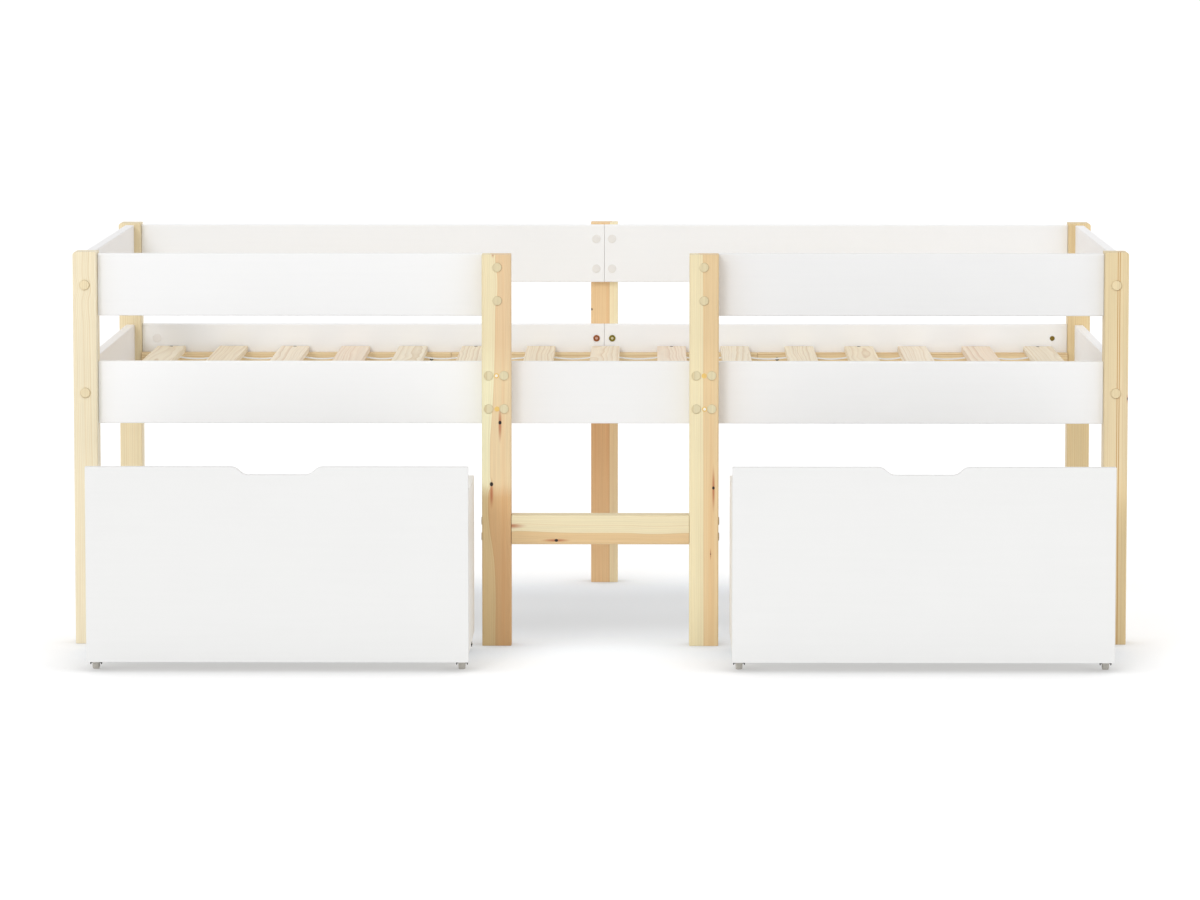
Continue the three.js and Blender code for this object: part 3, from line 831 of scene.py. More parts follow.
def rear_middle_wood(face):
    """Painted shade, darker and warmer where the slats and rails shade the post, with one small knot."""
    return pine(
        "clear pine rear middle post", Z, (-60 * MM, 690 * MM, 370 * MM), 75.2 * MM, ring=3.3, figure=0.36,
        seed=18.0, swirl=0.5, streaks=((74.6 * MM, 1.6, 0.5),),
        knots=(((-26 * MM, face, 562 * MM), 1.8, 8, 0),),
        # Painted shade: darker at the foot and darkest just under the lower rear rails
        painted_shade=((0.0, "fbf4ee"), (0.2, "f6e6da"), (0.34, "edd8c7"), (0.42, "edd8c7"), (0.52, "ffffff")),
        colours=("fdf0c8", "f8d6a4", "dea873"),
    )


class BED_OT_corner_posts(bpy.types.Operator):
    """Models the four corner posts, each with a rounded outer top corner"""

    bl_idname = "bed.corner_posts"
    bl_label = "Corner posts"

    def execute(self, context):
        sizes = context.scene.bed_sizes
        hole = sizes.cap_diameter + 2 * CAP_GAP
        for corner, (side_x, side_y) in CORNERS.items():
            low, high = corner_timber(corner)
            centre = (low + high) / 2
            face = low.y if side_y < 0 else high.y
            outer_x = low.x if side_x < 0 else high.x
            top = high.z

            def outer_top(edge, outer_x=outer_x, top=top):
                return lies_at(edge, X, outer_x) and lies_at(edge, Z, top)

            heights = [middle(board).z for board in CAPPED_BOARDS]
            bores = [((0, side_y, 0), (centre.x, face, z), hole, CAP_LET_IN) for z in heights]
            corners = ((outer_top, sizes.post_corner),)
            post(f"{corner}_post", low, high, corner_wood(corner, centre), corners=corners, bores=bores)
        return {"FINISHED"}


class BED_OT_entry_posts(bpy.types.Operator):
    """Models the two posts of the entry and the middle post at the rear"""

    bl_idname = "bed.entry_posts"
    bl_label = "Entry and middle posts"

    def execute(self, context):
        cover_hole = COVER_WIDTH + 2 * COVER_GAP
        cap_hole = STEP_CAP_WIDTH + 2 * CAP_GAP
        for side, side_x, wood in (("left", -1, left_entry_wood), ("right", 1, right_entry_wood)):
            low, high = entry_timber(side)
            bores = [((0, -1, 0), (x, low.y, z), cover_hole, CAP_LET_IN) for x, z in cover_places(side)]
            bores += [((side_x, 0, 0), mouth, cap_hole, CAP_LET_IN) for mouth in step_bolt_places(side)]
            post(f"entry_{side}_post", low, high, wood(low.y), bores=bores)
        low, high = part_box("rear_middle_post")
        post("rear_middle_post", low, high, rear_middle_wood(low.y))
        return {"FINISHED"}


# Boards


class BED_OT_boards(bpy.types.Operator):
    """Models the painted rails and end boards"""

    bl_idname = "bed.boards"
    bl_label = "Rails and end boards"

    def execute(self, context):
        scene = context.scene
        nodes = [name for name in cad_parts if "_rail_" in name or "_end_board_" in name]
        tones = scene.bed_colours
        # The lower left end board's warmer white is painted warm bounce light
        whites = {
            "lower_end_board_left": tones.warm_bounce_white, "_front_rail_": tones.front_white,
            "_rear_rail_": tones.rear_white, "_end_board_": tones.end_white,
        }
        # Painted light and shade: a board's white is lighter where it gets too little light and darker where
        # it is shaded
        painted_light_levels = {
            "upper_front_rail_left": 0.975, "lower_front_rail_left": 1.05, "upper_front_rail_right": 0.91,
            "lower_front_rail_right": 1.0, "lower_front_rail_middle": 0.95, "lower_end_board_left": 0.95,
            "upper_end_board_right": 1.03, "lower_end_board_right": 1.03,
        }
        for index, node in enumerate(sorted(nodes)):
            axis = Y if "_end_board_" in node else X
            white = next(whites[kind] for kind in whites if kind in node)
            paint = painted_board(
                f"white enamel on pine {node.replace('_', ' ')}", axis, white, 5.0 * index,
                painted_light_levels.get(node, 1.0)
            )
            piece = bar(f"{node}_board", *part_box(node), axis, scene.bed_sizes.board_easing)
            if node == "lower_rear_rail_right":
                bore(piece, [((0, -1, 0), nut_place(), NUT_HOLE_WIDTH, NUT_HOLE_DEPTH)])
            fit(coat(piece, paint), BED, node)
        return {"FINISHED"}


def nut_place():
    """The mouth of the barrel nut's hole, near the right end of the lower rear rail."""
    low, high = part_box("lower_rear_rail_right")
    return Vector((high.x - REAR_BOLT_INSET, low.y, (low.z + high.z) / 2 + REAR_BOLT_RISE))


class BED_OT_step(bpy.types.Operator):
    """Models the step between the entry posts"""

    bl_idname = "bed.step"
    bl_label = "Entry step"

    def execute(self, context):
        low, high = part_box("entry_step")
        knots = (
            ((-172.5 * MM, low.y, 227 * MM), 4.4, 80, 0), ((-82.5 * MM, low.y, 199.7 * MM), 2.7, 66, -1)
        )
        wood = pine(
            "clear pine step", X, (0, -300 * MM, 155 * MM), 69.3 * MM, ring=3.3, figure=0.34, seed=21.0,
            swirl=0.6, streaks=((69.6 * MM, 1.6, 0.5),), knots=knots,
            bends=((-0.167, 3.2), (-0.06, 0.4), (0.05, 0), (0.1, -1.5), (0.167, 0)),
            colours=("f1e4be", "e6c695", "d2a568"),
        )
        piece = bar("entry_step_timber", low, high, X, context.scene.bed_sizes.post_easing)
        fit(coat(piece, wood), BED, "entry_step")
        return {"FINISHED"}


# Slatted base

# Each batten and the way its inner side faces across the bed
BATTENS = {"front_batten": 1, "rear_batten_left": -1, "rear_batten_middle": -1, "rear_batten_right": -1}


class BED_OT_battens(bpy.types.Operator):
    """Models the battens that carry the slats"""

    bl_idname = "bed.battens"
    bl_label = "Battens"

    def execute(self, context):
        for index, node in enumerate(BATTENS):
            low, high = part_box(node)
            centre = (low + high) / 2
            below = (35 + 9 * index) * MM
            wood = pine(
                f"planed pine {node.replace('_', ' ')}", X, (centre.x, centre.y - 30 * MM, centre.z - below),
                20 * MM, ring=5.0, figure=0.8, seed=24.0 + 3 * index, colours=("e8cfa2", "dfbf90", "b98752"),
            )
            piece = bar(f"{node}_timber", low, high, X, context.scene.bed_sizes.board_easing)
            fit(coat(piece, wood), BED, node)
        return {"FINISHED"}


class BED_OT_slats(bpy.types.Operator):
    """Models the fifteen slats"""

    bl_idname = "bed.slats"
    bl_label = "Slats"

    def execute(self, context):
        sizes = context.scene.bed_sizes
        tones = (
            ("f6e8cc", "edd4ac", "cda774"), ("f4e4c6", "e9cfa6", "cca470"), ("f8ead2", "efdab6", "d3ad7c"),
            ("f6e4cc", "ecd2ae", "cfa276"), ("f5e8cf", "ebd2a8", "ccaa74"),
        )
        for index, node in enumerate(SLATS):
            low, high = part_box(node)
            centre = (low + high) / 2
            # No two slats are sawn alike: the tree's middle lies to one side or the other, near or far below
            swing = math.sin(index * 2.3)
            below = (26 + 22 * abs(math.cos(index * 1.7))) * MM
            wood = pine(
                f"raw softwood {node.replace('_', ' ')}", Y,
                (centre.x + 45 * MM * swing, centre.y, centre.z - below), 10 * MM, ring=3.5,
                figure=0.55 + 0.2 * abs(swing), seed=40.0 + 3.7 * index, lean=(0, 0.006 * swing),
                colours=tones[index % len(tones)],
            )
            corners = ((lambda edge: runs_along(edge, Z), sizes.slat_corner),)
            piece = bar(f"{node}_timber", low, high, Y, sizes.slat_easing, corners)
            fit(coat(piece, wood), BED, node)
        return {"FINISHED"}


class BED_OT_straps(bpy.types.Operator):
    """Models the two straps under the slats, which hang a little between them"""

    bl_idname = "bed.straps"
    bl_label = "Slat straps"

    def execute(self, context):
        low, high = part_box("front_slat_strap")
        strap = self.strip("front_slat_strap_webbing", self.path(low, high), low.y, high.y, high.z)
        apply_modifier(strap, "SOLIDIFY", thickness=high.z - low.z, offset=-1.0)
        ease_all(strap, 0.4 * MM, sharp=60)
        smooth(strap, 40)
        coat(strap, polyester_webbing())
        back = middle("rear_slat_strap").y - middle("front_slat_strap").y
        rear = place(strap, "rear_slat_strap_webbing", Matrix.Translation((0, back, 0)))
        fit(strap, BED, "front_slat_strap")
        fit(rear, BED, "rear_slat_strap")
        return {"FINISHED"}

    def path(self, low, high):
        """The strap's way along the bed, flat under each slat and sagging between two: (along, down)."""
        sag = bpy.context.scene.bed_sizes.strap_sag
        points = [(low.x, 0.0)]
        for left, right in zip(SLATS, SLATS[1:]):
            start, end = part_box(left)[1].x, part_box(right)[0].x
            for share in (0, 0.15, 0.35, 0.5, 0.65, 0.85, 1):
                points.append((start + (end - start) * share, -4 * sag * share * (1 - share)))
        points.append((high.x, 0.0))
        return points

    def strip(self, name, path, front, rear, top):
        """A flat strip drawn out along a path."""
        deselect_all()
        bpy.ops.mesh.primitive_plane_add(size=1, location=(0, 0, 0))
        strap = named(name)
        open_mesh(strap)
        # The plane becomes the first stretch, and its right edge is drawn out along the path
        (start, _), (first, _) = path[:2]
        bpy.ops.mesh.select_all(action="SELECT")
        bpy.ops.transform.resize(value=(first - start, rear - front, 1))
        bpy.ops.transform.translate(value=((start + first) / 2, (front + rear) / 2, top))
        pick(strap, "EDGE", lambda edge: lies_at(edge, X, first))
        for before, after in zip(path[1:], path[2:]):
            step = (after[0] - before[0], 0, after[1] - before[1])
            bpy.ops.mesh.extrude_region_move(TRANSFORM_OT_translate={"value": step})
        close_mesh()
        return strap


# Caps, bolts and screws

FORWARD = (0, -1, 0)  # the way that the caps and bolts in front and on the rear rails face
HEAD_SUNK = 1 * MM  # how deep a bolt's or a screw's head sits in the wood
COVER_PROUD = 0.6 * MM
DOWEL_WIDTH, DOWEL_PROUD = 9.5 * MM, 0.4 * MM
PLUG_WIDTH, PLUG_PROUD = 5.6 * MM, 0.8 * MM
THIN_LET_IN = 0.5 * MM  # how deep a dowel end and its plug are let in
SCREWED_SLATS = [SLATS[number] for number in (0, 2, 5, 8, 11, 14)]
SLAT_SCREW_INSET = 14 * MM
BATTEN_SCREW_INSET = 40 * MM
BATTEN_SCREW_PITCH = 300 * MM  # about so far apart
NUT_SUNK = 5.4 * MM  # from the rail's face to the middle of the barrel nut


def cap_button(name, diameter, proud, let_in=CAP_LET_IN):
    """A low round button on a face at zero, along +Z, with a rounded edge and a slightly crowned top."""
    piece = disc(name, (0, 0, (proud - let_in) / 2), diameter / 2, proud + let_in, sides=40)
    open_mesh(piece)
    pick(piece, "EDGE", lambda edge: lies_at(edge, Z, proud))
    bpy.ops.mesh.bevel(offset=min(0.5 * MM, 0.8 * proud), segments=4, affect="EDGES")
    for share, rise in ((0.2, 0.04), (0.2, 0.03)):
        pick(piece, "FACE", lambda face: face.normal.z > 0.99 and len(face.verts) > 8)
        bpy.ops.mesh.inset(thickness=share * diameter / 2, depth=rise * proud)
    close_mesh()
    smooth(piece, 50)
    return piece


class BED_OT_caps(bpy.types.Operator):
    """Models the caps over the bolt heads, on the posts and on the rear rails"""

    bl_idname = "bed.caps"
    bl_label = "Bolt caps"

    def execute(self, context):
        for corner in CORNERS:
            self.corner_caps(corner)
        stub = moulded_plastic("moulded brown polyethylene cap", "a98a62", "96784f")
        # The white plug is a painted highlight, the glint on a dowel end
        plug = moulded_plastic("white painted highlight on a dowel end", "fffaf0", "f6eed8", 0.5)
        # A dowel's end soaked with glue is as smooth and even as plastic, and has its finish
        glued = moulded_plastic("glued beech dowel end", "f2cf7c", "e0b45c", 0.5)
        for side, side_x in (("left", -1), ("right", 1)):
            self.covers(side)
            self.step_caps(side, side_x, stub)
            self.dowels(side, glued, plug)
        self.rear_caps()
        return {"FINISHED"}

    def corner_caps(self, corner):
        """Wooden buttons on a corner post, one at the middle of each board."""
        sizes = bpy.context.scene.bed_sizes
        side_y = CORNERS[corner][Y]
        low, high = corner_timber(corner)
        x = (low.x + high.x) / 2
        face = low.y if side_y < 0 else high.y
        pale = "efdfb8" if corner == "front_left" else "ead8ae"
        wood = pine(
            f"turned pine caps {corner.replace('_', ' ')}", Z, (x - 40 * MM, face, 0), 0.0, ring=3.0,
            figure=0.35, seed=70.0 + x, colours=(pale, "e6cc9c", "cfa870"),
        )
        button = coat(cap_button(f"{corner}_post_cap", sizes.cap_diameter, sizes.cap_proud), wood)
        heights = [middle(board).z + CAP_ASIDE for board in CAPPED_BOARDS]
        at = [facing((0, side_y, 0), (x - CAP_ASIDE, face, z)) for z in heights]
        fit(scatter(button, f"{corner}_post_caps", at), BED)

    def covers(self, side):
        """Flat wooden covers on the front of an entry post, cut across the grain, the upper ones a touch
        darker as painted shade.
        """
        low, high = entry_timber(side)
        x = (low.x + high.x) / 2
        wood = pine(
            f"cross-cut pine covers entry {side}", Z, (x - 60 * MM, low.y + 10 * MM, 370 * MM), 40 * MM,
            ring=1.9, figure=0.7, seed=79.0 if side == "left" else 81.0, lean=(0, 0.03),
            # Painted shade: the upper covers a touch darker, as on the post's top
            painted_shade=((0.54, "ffffff"), (0.6, "f7f4f1")), colours=("e8dcb6", "e1d1a6", "c8b684"),
        )
        cover = coat(cap_button(f"entry_{side}_post_cover", COVER_WIDTH, COVER_PROUD), wood)
        at = [facing(FORWARD, (x - COVER_ASIDE, low.y, z + COVER_ASIDE)) for x, z in cover_places(side)]
        fit(scatter(cover, f"entry_{side}_post_covers", at), BED)

    def step_caps(self, side, side_x, stub):
        """Buttons over the step's bolts, on the outer side of an entry post."""
        proud = 0.75 * bpy.context.scene.bed_sizes.cap_proud
        button = coat(cap_button(f"entry_{side}_post_step_cap", STEP_CAP_WIDTH, proud), stub)
        at = [facing((side_x, 0, 0), mouth) for mouth in step_bolt_places(side)]
        fit(scatter(button, f"entry_{side}_post_step_caps", at), BED)

    def dowels(self, side, glued, plug):
        """Small dowel ends between the lower covers, one of them with a white plug in it that is a painted
        highlight.
        """
        low, high = entry_timber(side)
        x = (low.x + high.x) / 2
        z = middle("lower_front_rail_left").z + BOLT_RISE
        top = (x, low.y, z + BOLT_SPREAD)
        bottom = (x + 1 * MM, low.y, z - BOLT_SPREAD)
        dowel = coat(cap_button(f"entry_{side}_post_dowel", DOWEL_WIDTH, DOWEL_PROUD, THIN_LET_IN), glued)
        at = [facing(FORWARD, top), facing(FORWARD, bottom)]
        fit(scatter(dowel, f"entry_{side}_post_dowels", at), BED)
        # The white plug is a painted highlight
        centre = coat(cap_button(f"entry_{side}_post_plug", PLUG_WIDTH, PLUG_PROUD, THIN_LET_IN), plug)
        at = [facing(FORWARD, top if side == "left" else bottom)]
        fit(scatter(centre, f"entry_{side}_post_dowel_plug", at), BED)

    def rear_caps(self):
        """White caps over the bolts of the upper rear rails' joint, and one at the lower rail's left end."""
        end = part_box("lower_rear_rail_left")[0]
        upper = middle("upper_rear_rail_left").z
        lower = middle("lower_rear_rail_left").z
        white = moulded_plastic("moulded white polyethylene", "efedea", "e9e7e4", 0.5)
        button = coat(cap_button("upper_rear_rail_cap", 17 * MM, 1.2 * MM), white)
        # The bolts of the joint aren't quite even, as drilled by hand
        places = [(x * MM, upper + z * MM) for x in (-16.5, 15.5) for z in (-31, 30)]
        at = [facing(FORWARD, (x, end.y, z)) for x, z in places]
        fit(scatter(button, "upper_rear_rail_caps", at), BED)
        # The lower cap's lighter white is painted light, against the shade in the rails' corner
        pale = moulded_plastic("painted light on a moulded white cap", "f1efee", "ebe9e7", 0.5)
        button = coat(cap_button("lower_rear_rail_cap", 18 * MM, 0.9 * MM), pale)
        at = [facing(FORWARD, (end.x + REAR_BOLT_INSET, end.y, lower + REAR_BOLT_RISE))]
        fit(scatter(button, "lower_rear_rail_cap_left", at), BED)


def socket_bolt(name, width, proud, metal, insert, dark):
    """A bolt head along +Z: a rounded ring round a six-sided socket, with a pale piece in it that is a
    painted highlight of bright metal, and a dark nick that is the painted shade of a slot.
    """
    piece = disc(name, (0, 0, (proud - HEAD_SUNK) / 2), width / 2, proud + HEAD_SUNK, sides=36)
    open_mesh(piece)
    pick(piece, "EDGE", lambda edge: lies_at(edge, Z, proud))
    bpy.ops.mesh.bevel(offset=0.6 * proud, segments=4, affect="EDGES")
    close_mesh()
    cut(piece, disc("socket", (0, 0, proud), width * 0.29, proud * 1.5, sides=6))
    ease_all(piece, 0.15 * MM, segments=1, sharp=60)
    smooth(piece, 40)
    inside = disc("socket_floor", (0, 0, 0), width * 0.24, proud, sides=6)
    ease_all(inside, 0.3 * MM)
    smooth(inside, 40)
    nick = block("nick", (-1.1 * MM, width * 0.22, proud * 0.4), (1.1 * MM, width * 0.47, proud * 0.95))
    ease_all(nick, 0.3 * MM)
    return merge(name, [coat(piece, metal), coat(inside, insert), coat(nick, dark)])


def cross_screw(name, width, proud, material):
    """A countersunk screw head along +Z, nearly flush, with a cross recess."""
    piece = disc(name, (0, 0, (proud - HEAD_SUNK) / 2), width / 2, proud + HEAD_SUNK, sides=24)
    open_mesh(piece)
    pick(piece, "EDGE", lambda edge: lies_at(edge, Z, proud))
    bpy.ops.mesh.bevel(offset=0.5 * proud, segments=2, affect="EDGES")
    close_mesh()
    half, slot = width * 0.3, width * 0.07
    for long_x, long_y in ((half, slot), (slot, half)):
        cut(piece, block("recess", (-long_x, -long_y, -0.2 * MM), (long_x, long_y, proud + 1 * MM)))
    smooth(piece)
    return coat(piece, material)


def barrel_nut(metal):
    """A cross dowel seen end on: a ring with a sunk face and a screwdriver slot."""
    piece = disc("nut", (0, 0, 0), 4.8 * MM, 5 * MM, sides=32)
    open_mesh(piece)
    pick(piece, "FACE", lambda face: face.normal.z > 0.99)
    bpy.ops.mesh.inset(thickness=1.0 * MM, depth=0)
    bpy.ops.mesh.inset(thickness=0.2 * MM, depth=-0.5 * MM)
    close_mesh()
    cut(piece, block("slot", (-3.4 * MM, -0.6 * MM, 1.2 * MM), (3.4 * MM, 0.6 * MM, 3 * MM)))
    smooth(piece)
    return coat(piece, metal)


class BED_OT_fittings(bpy.types.Operator):
    """Models the bolts, the barrel nut and the screws that show"""

    bl_idname = "bed.fittings"
    bl_label = "Bolts and screws"

    def execute(self, context):
        copper = plated_steel("copper plated steel bolt", "b9774f", "8a5233", 0.3)
        yellow = plated_steel("yellow zinc plated steel bolt", "9d9140", "6f6428", 0.3)
        # The rose and cream pieces in the sockets are painted highlights of bright metal, and the black nick
        # is the painted shade of a slot
        rose = moulded_plastic("rose painted highlight in a bolt socket", "e2b7a6", "d3a08c", 0.5)
        cream = moulded_plastic("cream painted highlight in a bolt socket", "e3dcb8", "d2c99c", 0.5)
        brass = plated_steel("brass barrel nut", "b39a4a", "6d5a28", 0.3)
        black = plated_steel("black phosphated steel screw", "4b4640", "2b2723", 0.25)
        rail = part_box("lower_rear_rail_left")[0].y
        height = middle("lower_rear_rail_left").z + REAR_BOLT_RISE
        for word, side, metal, insert in (("left", -1, copper, rose), ("right", 1, yellow, cream)):
            bolt = socket_bolt("bolt", 13.4 * MM, 2.5 * MM, metal, insert, black)
            at = [facing(FORWARD, (side * REAR_BOLT_SPREAD, rail, height))]
            fit(scatter(bolt, f"rear_joint_bolt_{word}", at), BED)
        at = [facing(FORWARD, nut_place() + Vector((0, NUT_SUNK, 0)))]
        fit(scatter(barrel_nut(brass), "rear_rail_barrel_nut", at), BED)
        screw = cross_screw("slat_screw", 7 * MM, 0.6 * MM, black)
        fit(scatter(screw, "slat_screws", self.slat_screw_places()), BED)
        screw = cross_screw("batten_screw", 7 * MM, 0.6 * MM, black)
        fit(scatter(screw, "batten_screws", self.batten_screw_places()), BED)
        return {"FINISHED"}

    def slat_screw_places(self):
        """One at each end of the slats that are screwed down."""
        at = []
        for node in SCREWED_SLATS:
            low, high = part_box(node)
            x = (low.x + high.x) / 2
            for y in (low.y + SLAT_SCREW_INSET, high.y - SLAT_SCREW_INSET):
                at.append(facing((0, 0, 1), (x, y, high.z)))
        return at

    def batten_screw_places(self):
        """Evenly along the inner side of each batten."""
        at = []
        for node, inwards in BATTENS.items():
            low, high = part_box(node)
            face = high.y if inwards > 0 else low.y
            count = max(2, round((high.x - low.x) / BATTEN_SCREW_PITCH))
            pitch = (high.x - low.x - 2 * BATTEN_SCREW_INSET) / (count - 1)
            for number in range(count):
                x = low.x + BATTEN_SCREW_INSET + pitch * number
                at.append(facing((0, inwards, 0), (x, face, (low.z + high.z) / 2)))
        return at


# Storage boxes

# The hand notch in a box's front: half its width at the top edge and at its floor, its depth and its rounds
NOTCH_TOP, NOTCH_FLOOR, NOTCH_DEPTH, NOTCH_ROUND = 76.5 * MM, 58.5 * MM, 14.5 * MM, 6 * MM


class BED_OT_box_panels(bpy.types.Operator):
    """Models the panels of the two storage boxes, with the hand notch in each front"""

    bl_idname = "bed.box_panels"
    bl_label = "Box panels"

    def execute(self, context):
        tones = context.scene.bed_colours
        easing = context.scene.bed_sizes.panel_easing
        for index, box in enumerate(BOXES):
            # Painted shade on the fronts and painted light on the walls, through their two whites
            paint = painted_board(f"white enamel on {box} box front", X, tones.panel_white, 50.0 + 9 * index)
            front = coat(self.notched_front(box, easing), paint)
            fit(front, f"{box}_box", f"{box}_box_front")
            paint = painted_board(f"white enamel on {box} box walls", Y, tones.wall_white, 70.0 + 9 * index)
            for part, axis in (("left_side", Y), ("right_side", Y), ("back", X), ("base", X)):
                node = f"{box}_box_{part}"
                low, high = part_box(node)
                if part == "base":
                    low.z = high.z - BOX_BASE_THICK
                piece = bar(f"{node}_panel", low, high, axis, easing)
                fit(coat(piece, paint), f"{box}_box", node)
        return {"FINISHED"}

    def notched_front(self, box, easing):
        """A tall panel whose top edge dips in a hand notch with rounded shoulders."""
        low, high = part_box(f"{box}_box_front")
        piece = block(f"{box}_box_front_panel", low, high)
        x = (low.x + high.x) / 2
        floor = high.z - NOTCH_DEPTH
        cutter_low = (x - NOTCH_TOP, low.y - easing, floor)
        cutter = block("notch", cutter_low, (x + NOTCH_TOP, high.y + easing, high.z + NOTCH_DEPTH))
        open_mesh(cutter)
        pick(cutter, "EDGE", lambda edge: lies_at(edge, Z, floor) and runs_along(edge, Y))
        bpy.ops.transform.resize(value=(NOTCH_FLOOR / NOTCH_TOP, 1, 1), center_override=(x, 0, 0))
        pick(cutter, "FACE", lambda face: face.normal.z > 0.9)
        # The slope reaches the notch's full width at the panel's top edge, so the cutter's top is wider still
        wider = (2 * NOTCH_TOP - NOTCH_FLOOR) / NOTCH_TOP
        bpy.ops.transform.resize(value=(wider, 1, 1), center_override=(x, 0, 0))
        close_mesh()
        cut(piece, cutter)

        def on_notch(edge):
            return runs_along(edge, Y) and abs(ends(edge)[0].x - x) < NOTCH_TOP + 1 * MM

        open_mesh(piece)
        pick(piece, "EDGE", on_notch)
        bpy.ops.mesh.bevel(offset=NOTCH_ROUND, segments=4, affect="EDGES")
        close_mesh()
        ease_all(piece, easing)
        smooth(piece)
        return piece


# Castors

PLATE_HALF_WIDTH, PLATE_HALF_LENGTH, PLATE_THICK, PLATE_ROUND = 10.5 * MM, 19 * MM, 2 * MM, 2.5 * MM
EAR_SHEET = 1.5 * MM  # the pressed sheet of the fork's two ears
EAR_HALF_LENGTH, EAR_HALF_TIP, EAR_ROUND = 13 * MM, 4.5 * MM, 3.8 * MM  # at the plate, at the axle, and there
AXLE_RADIUS = 2 * MM
AXLE_PROUD = 0.75 * MM  # how far the riveted axle stands off each ear
PLATE_SCREW_ASIDE, PLATE_SCREW_ALONG = 6 * MM, 15.5 * MM  # from the plate's middle
WHEEL_BORE = 2.3 * MM  # radius


def on_its_side():
    """The turn that lays a piece made along Z along X."""
    return Euler((0, math.pi / 2, 0)).to_matrix().to_4x4()


class BED_OT_castors(bpy.types.Operator):
    """Models the plate castors and their wheels"""

    bl_idname = "bed.castors"
    bl_label = "Castors"

    def execute(self, context):
        steel = plated_steel("blackened steel fork", "242322", "171615", 0.3)
        dark = plated_steel("phosphated steel axle", "4a4845", "343230", 0.3)
        nylon = moulded_plastic("moulded grey nylon wheel", "cbc7bf", "b5b1a8")
        fork = self.fork(steel, dark)
        wheel = self.wheel(nylon)
        for box in BOXES:
            for corner in CORNERS:
                node = f"{box}_box_wheel_{corner}"
                centre = middle(node)
                held = place(fork, f"{box}_box_castor_{corner}", Matrix.Translation((centre.x, centre.y, 0)))
                fit(held, f"{box}_box")
                rolled = place(wheel, f"{node}_nylon", Matrix.Translation(centre))
                fit(rolled, f"{box}_wheel_{corner}", node)
        bpy.data.objects.remove(fork)
        bpy.data.objects.remove(wheel)
        return {"FINISHED"}

    def fork(self, steel, dark):
        """A pressed fork on its plate, with a riveted axle and the plate's screws; X and Y at its middle."""
        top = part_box("left_box_base")[1].z - BOX_BASE_THICK
        under = top - PLATE_THICK
        axle_z = middle("left_box_wheel_front_left").z
        plate_low = (-PLATE_HALF_WIDTH, -PLATE_HALF_LENGTH, under)
        plate = block("plate", plate_low, (PLATE_HALF_WIDTH, PLATE_HALF_LENGTH, top))
        open_mesh(plate)
        pick(plate, "EDGE", lambda edge: runs_along(edge, Z))
        bpy.ops.mesh.bevel(offset=PLATE_ROUND, segments=3, affect="EDGES")
        close_mesh()
        ease_all(plate, 0.4 * MM)
        smooth(plate)
        parts = [coat(plate, steel)]
        for side in (-1, 1):
            parts.append(coat(self.ear(side, axle_z - EAR_HALF_TIP, under + 1 * MM), steel))
        parts.append(coat(self.axle(axle_z), dark))
        screw = cross_screw("plate_screw", 5.5 * MM, 0.6 * MM, dark)
        at = [
            facing((0, 0, -1), (x, y, under))
            for x in (-PLATE_SCREW_ASIDE, PLATE_SCREW_ASIDE) for y in (-PLATE_SCREW_ALONG, PLATE_SCREW_ALONG)
        ]
        parts.append(scatter(screw, "plate_screws", at))
        return merge("castor_fork", parts)

    def ear(self, side, foot, top):
        """One side of the fork, which narrows to a round foot at the axle."""
        inner, outer = sorted((side * (PLATE_HALF_WIDTH - EAR_SHEET), side * PLATE_HALF_WIDTH))
        ear = block("ear", (inner, -EAR_HALF_LENGTH, foot), (outer, EAR_HALF_LENGTH, top))
        open_mesh(ear)
        pick(ear, "FACE", lambda face: face.normal.z < -0.9)
        bpy.ops.transform.resize(value=(1, EAR_HALF_TIP / EAR_HALF_LENGTH, 1), center_override=(0, 0, foot))
        pick(ear, "EDGE", lambda edge: runs_along(edge, X) and lies_at(edge, Z, foot))
        bpy.ops.mesh.bevel(offset=EAR_ROUND, segments=5, affect="EDGES")
        close_mesh()
        ease_all(ear, 0.3 * MM)
        smooth(ear)
        return ear

    def axle(self, height):
        """The axle with its rounded ends."""
        end = PLATE_HALF_WIDTH + AXLE_PROUD
        axle = disc("axle", (0, 0, 0), AXLE_RADIUS, 2 * end, sides=20)
        open_mesh(axle)
        pick(axle, "EDGE", lambda edge: lies_at(edge, Z, end) or lies_at(edge, Z, -end))
        bpy.ops.mesh.bevel(offset=0.5 * MM, segments=3, affect="EDGES")
        close_mesh()
        smooth(axle)
        axle.data.transform(Matrix.Translation((0, 0, height)) @ on_its_side())
        return axle

    def wheel(self, nylon):
        """A moulded wheel about the X axis: a rounded tread, a sunk web on each side and a bored hub."""
        low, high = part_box("left_box_wheel_front_left")
        half, tread = (high.x - low.x) / 2, (high.z - low.z) / 2
        piece = disc("wheel", (0, 0, 0), tread, 2 * half, sides=48)
        open_mesh(piece)
        pick(piece, "EDGE", lambda edge: lies_at(edge, Z, half) or lies_at(edge, Z, -half))
        bpy.ops.mesh.bevel(offset=2.2 * MM, segments=4, affect="EDGES")
        for side in (1, -1):
            pick(piece, "FACE", lambda face, side=side: face.normal.z * side > 0.99 and len(face.verts) > 8)
            # The rim, the fall to the web, the web, and the rise to the hub
            for thickness, depth in ((1.3, 0), (0.4, -1.6), (3.1, 0), (0.3, 1.6)):
                bpy.ops.mesh.inset(thickness=thickness * MM, depth=depth * MM)
        close_mesh()
        cut(piece, disc("bore", (0, 0, 0), WHEEL_BORE, 4 * half, sides=24))
        smooth(piece, 40)
        piece.data.transform(on_its_side())
        return coat(piece, nylon)


# Stage

FLOOR_RADIUS, SURROUND_RADIUS = 90, 88
FLOOR_DROP = 0.3 * MM  # the floor lies just under the wheels and posts
FLOOR_GLOW = 0.5
SURROUND_GLOW = 1.05
STUDIO_LIGHT = 0.78
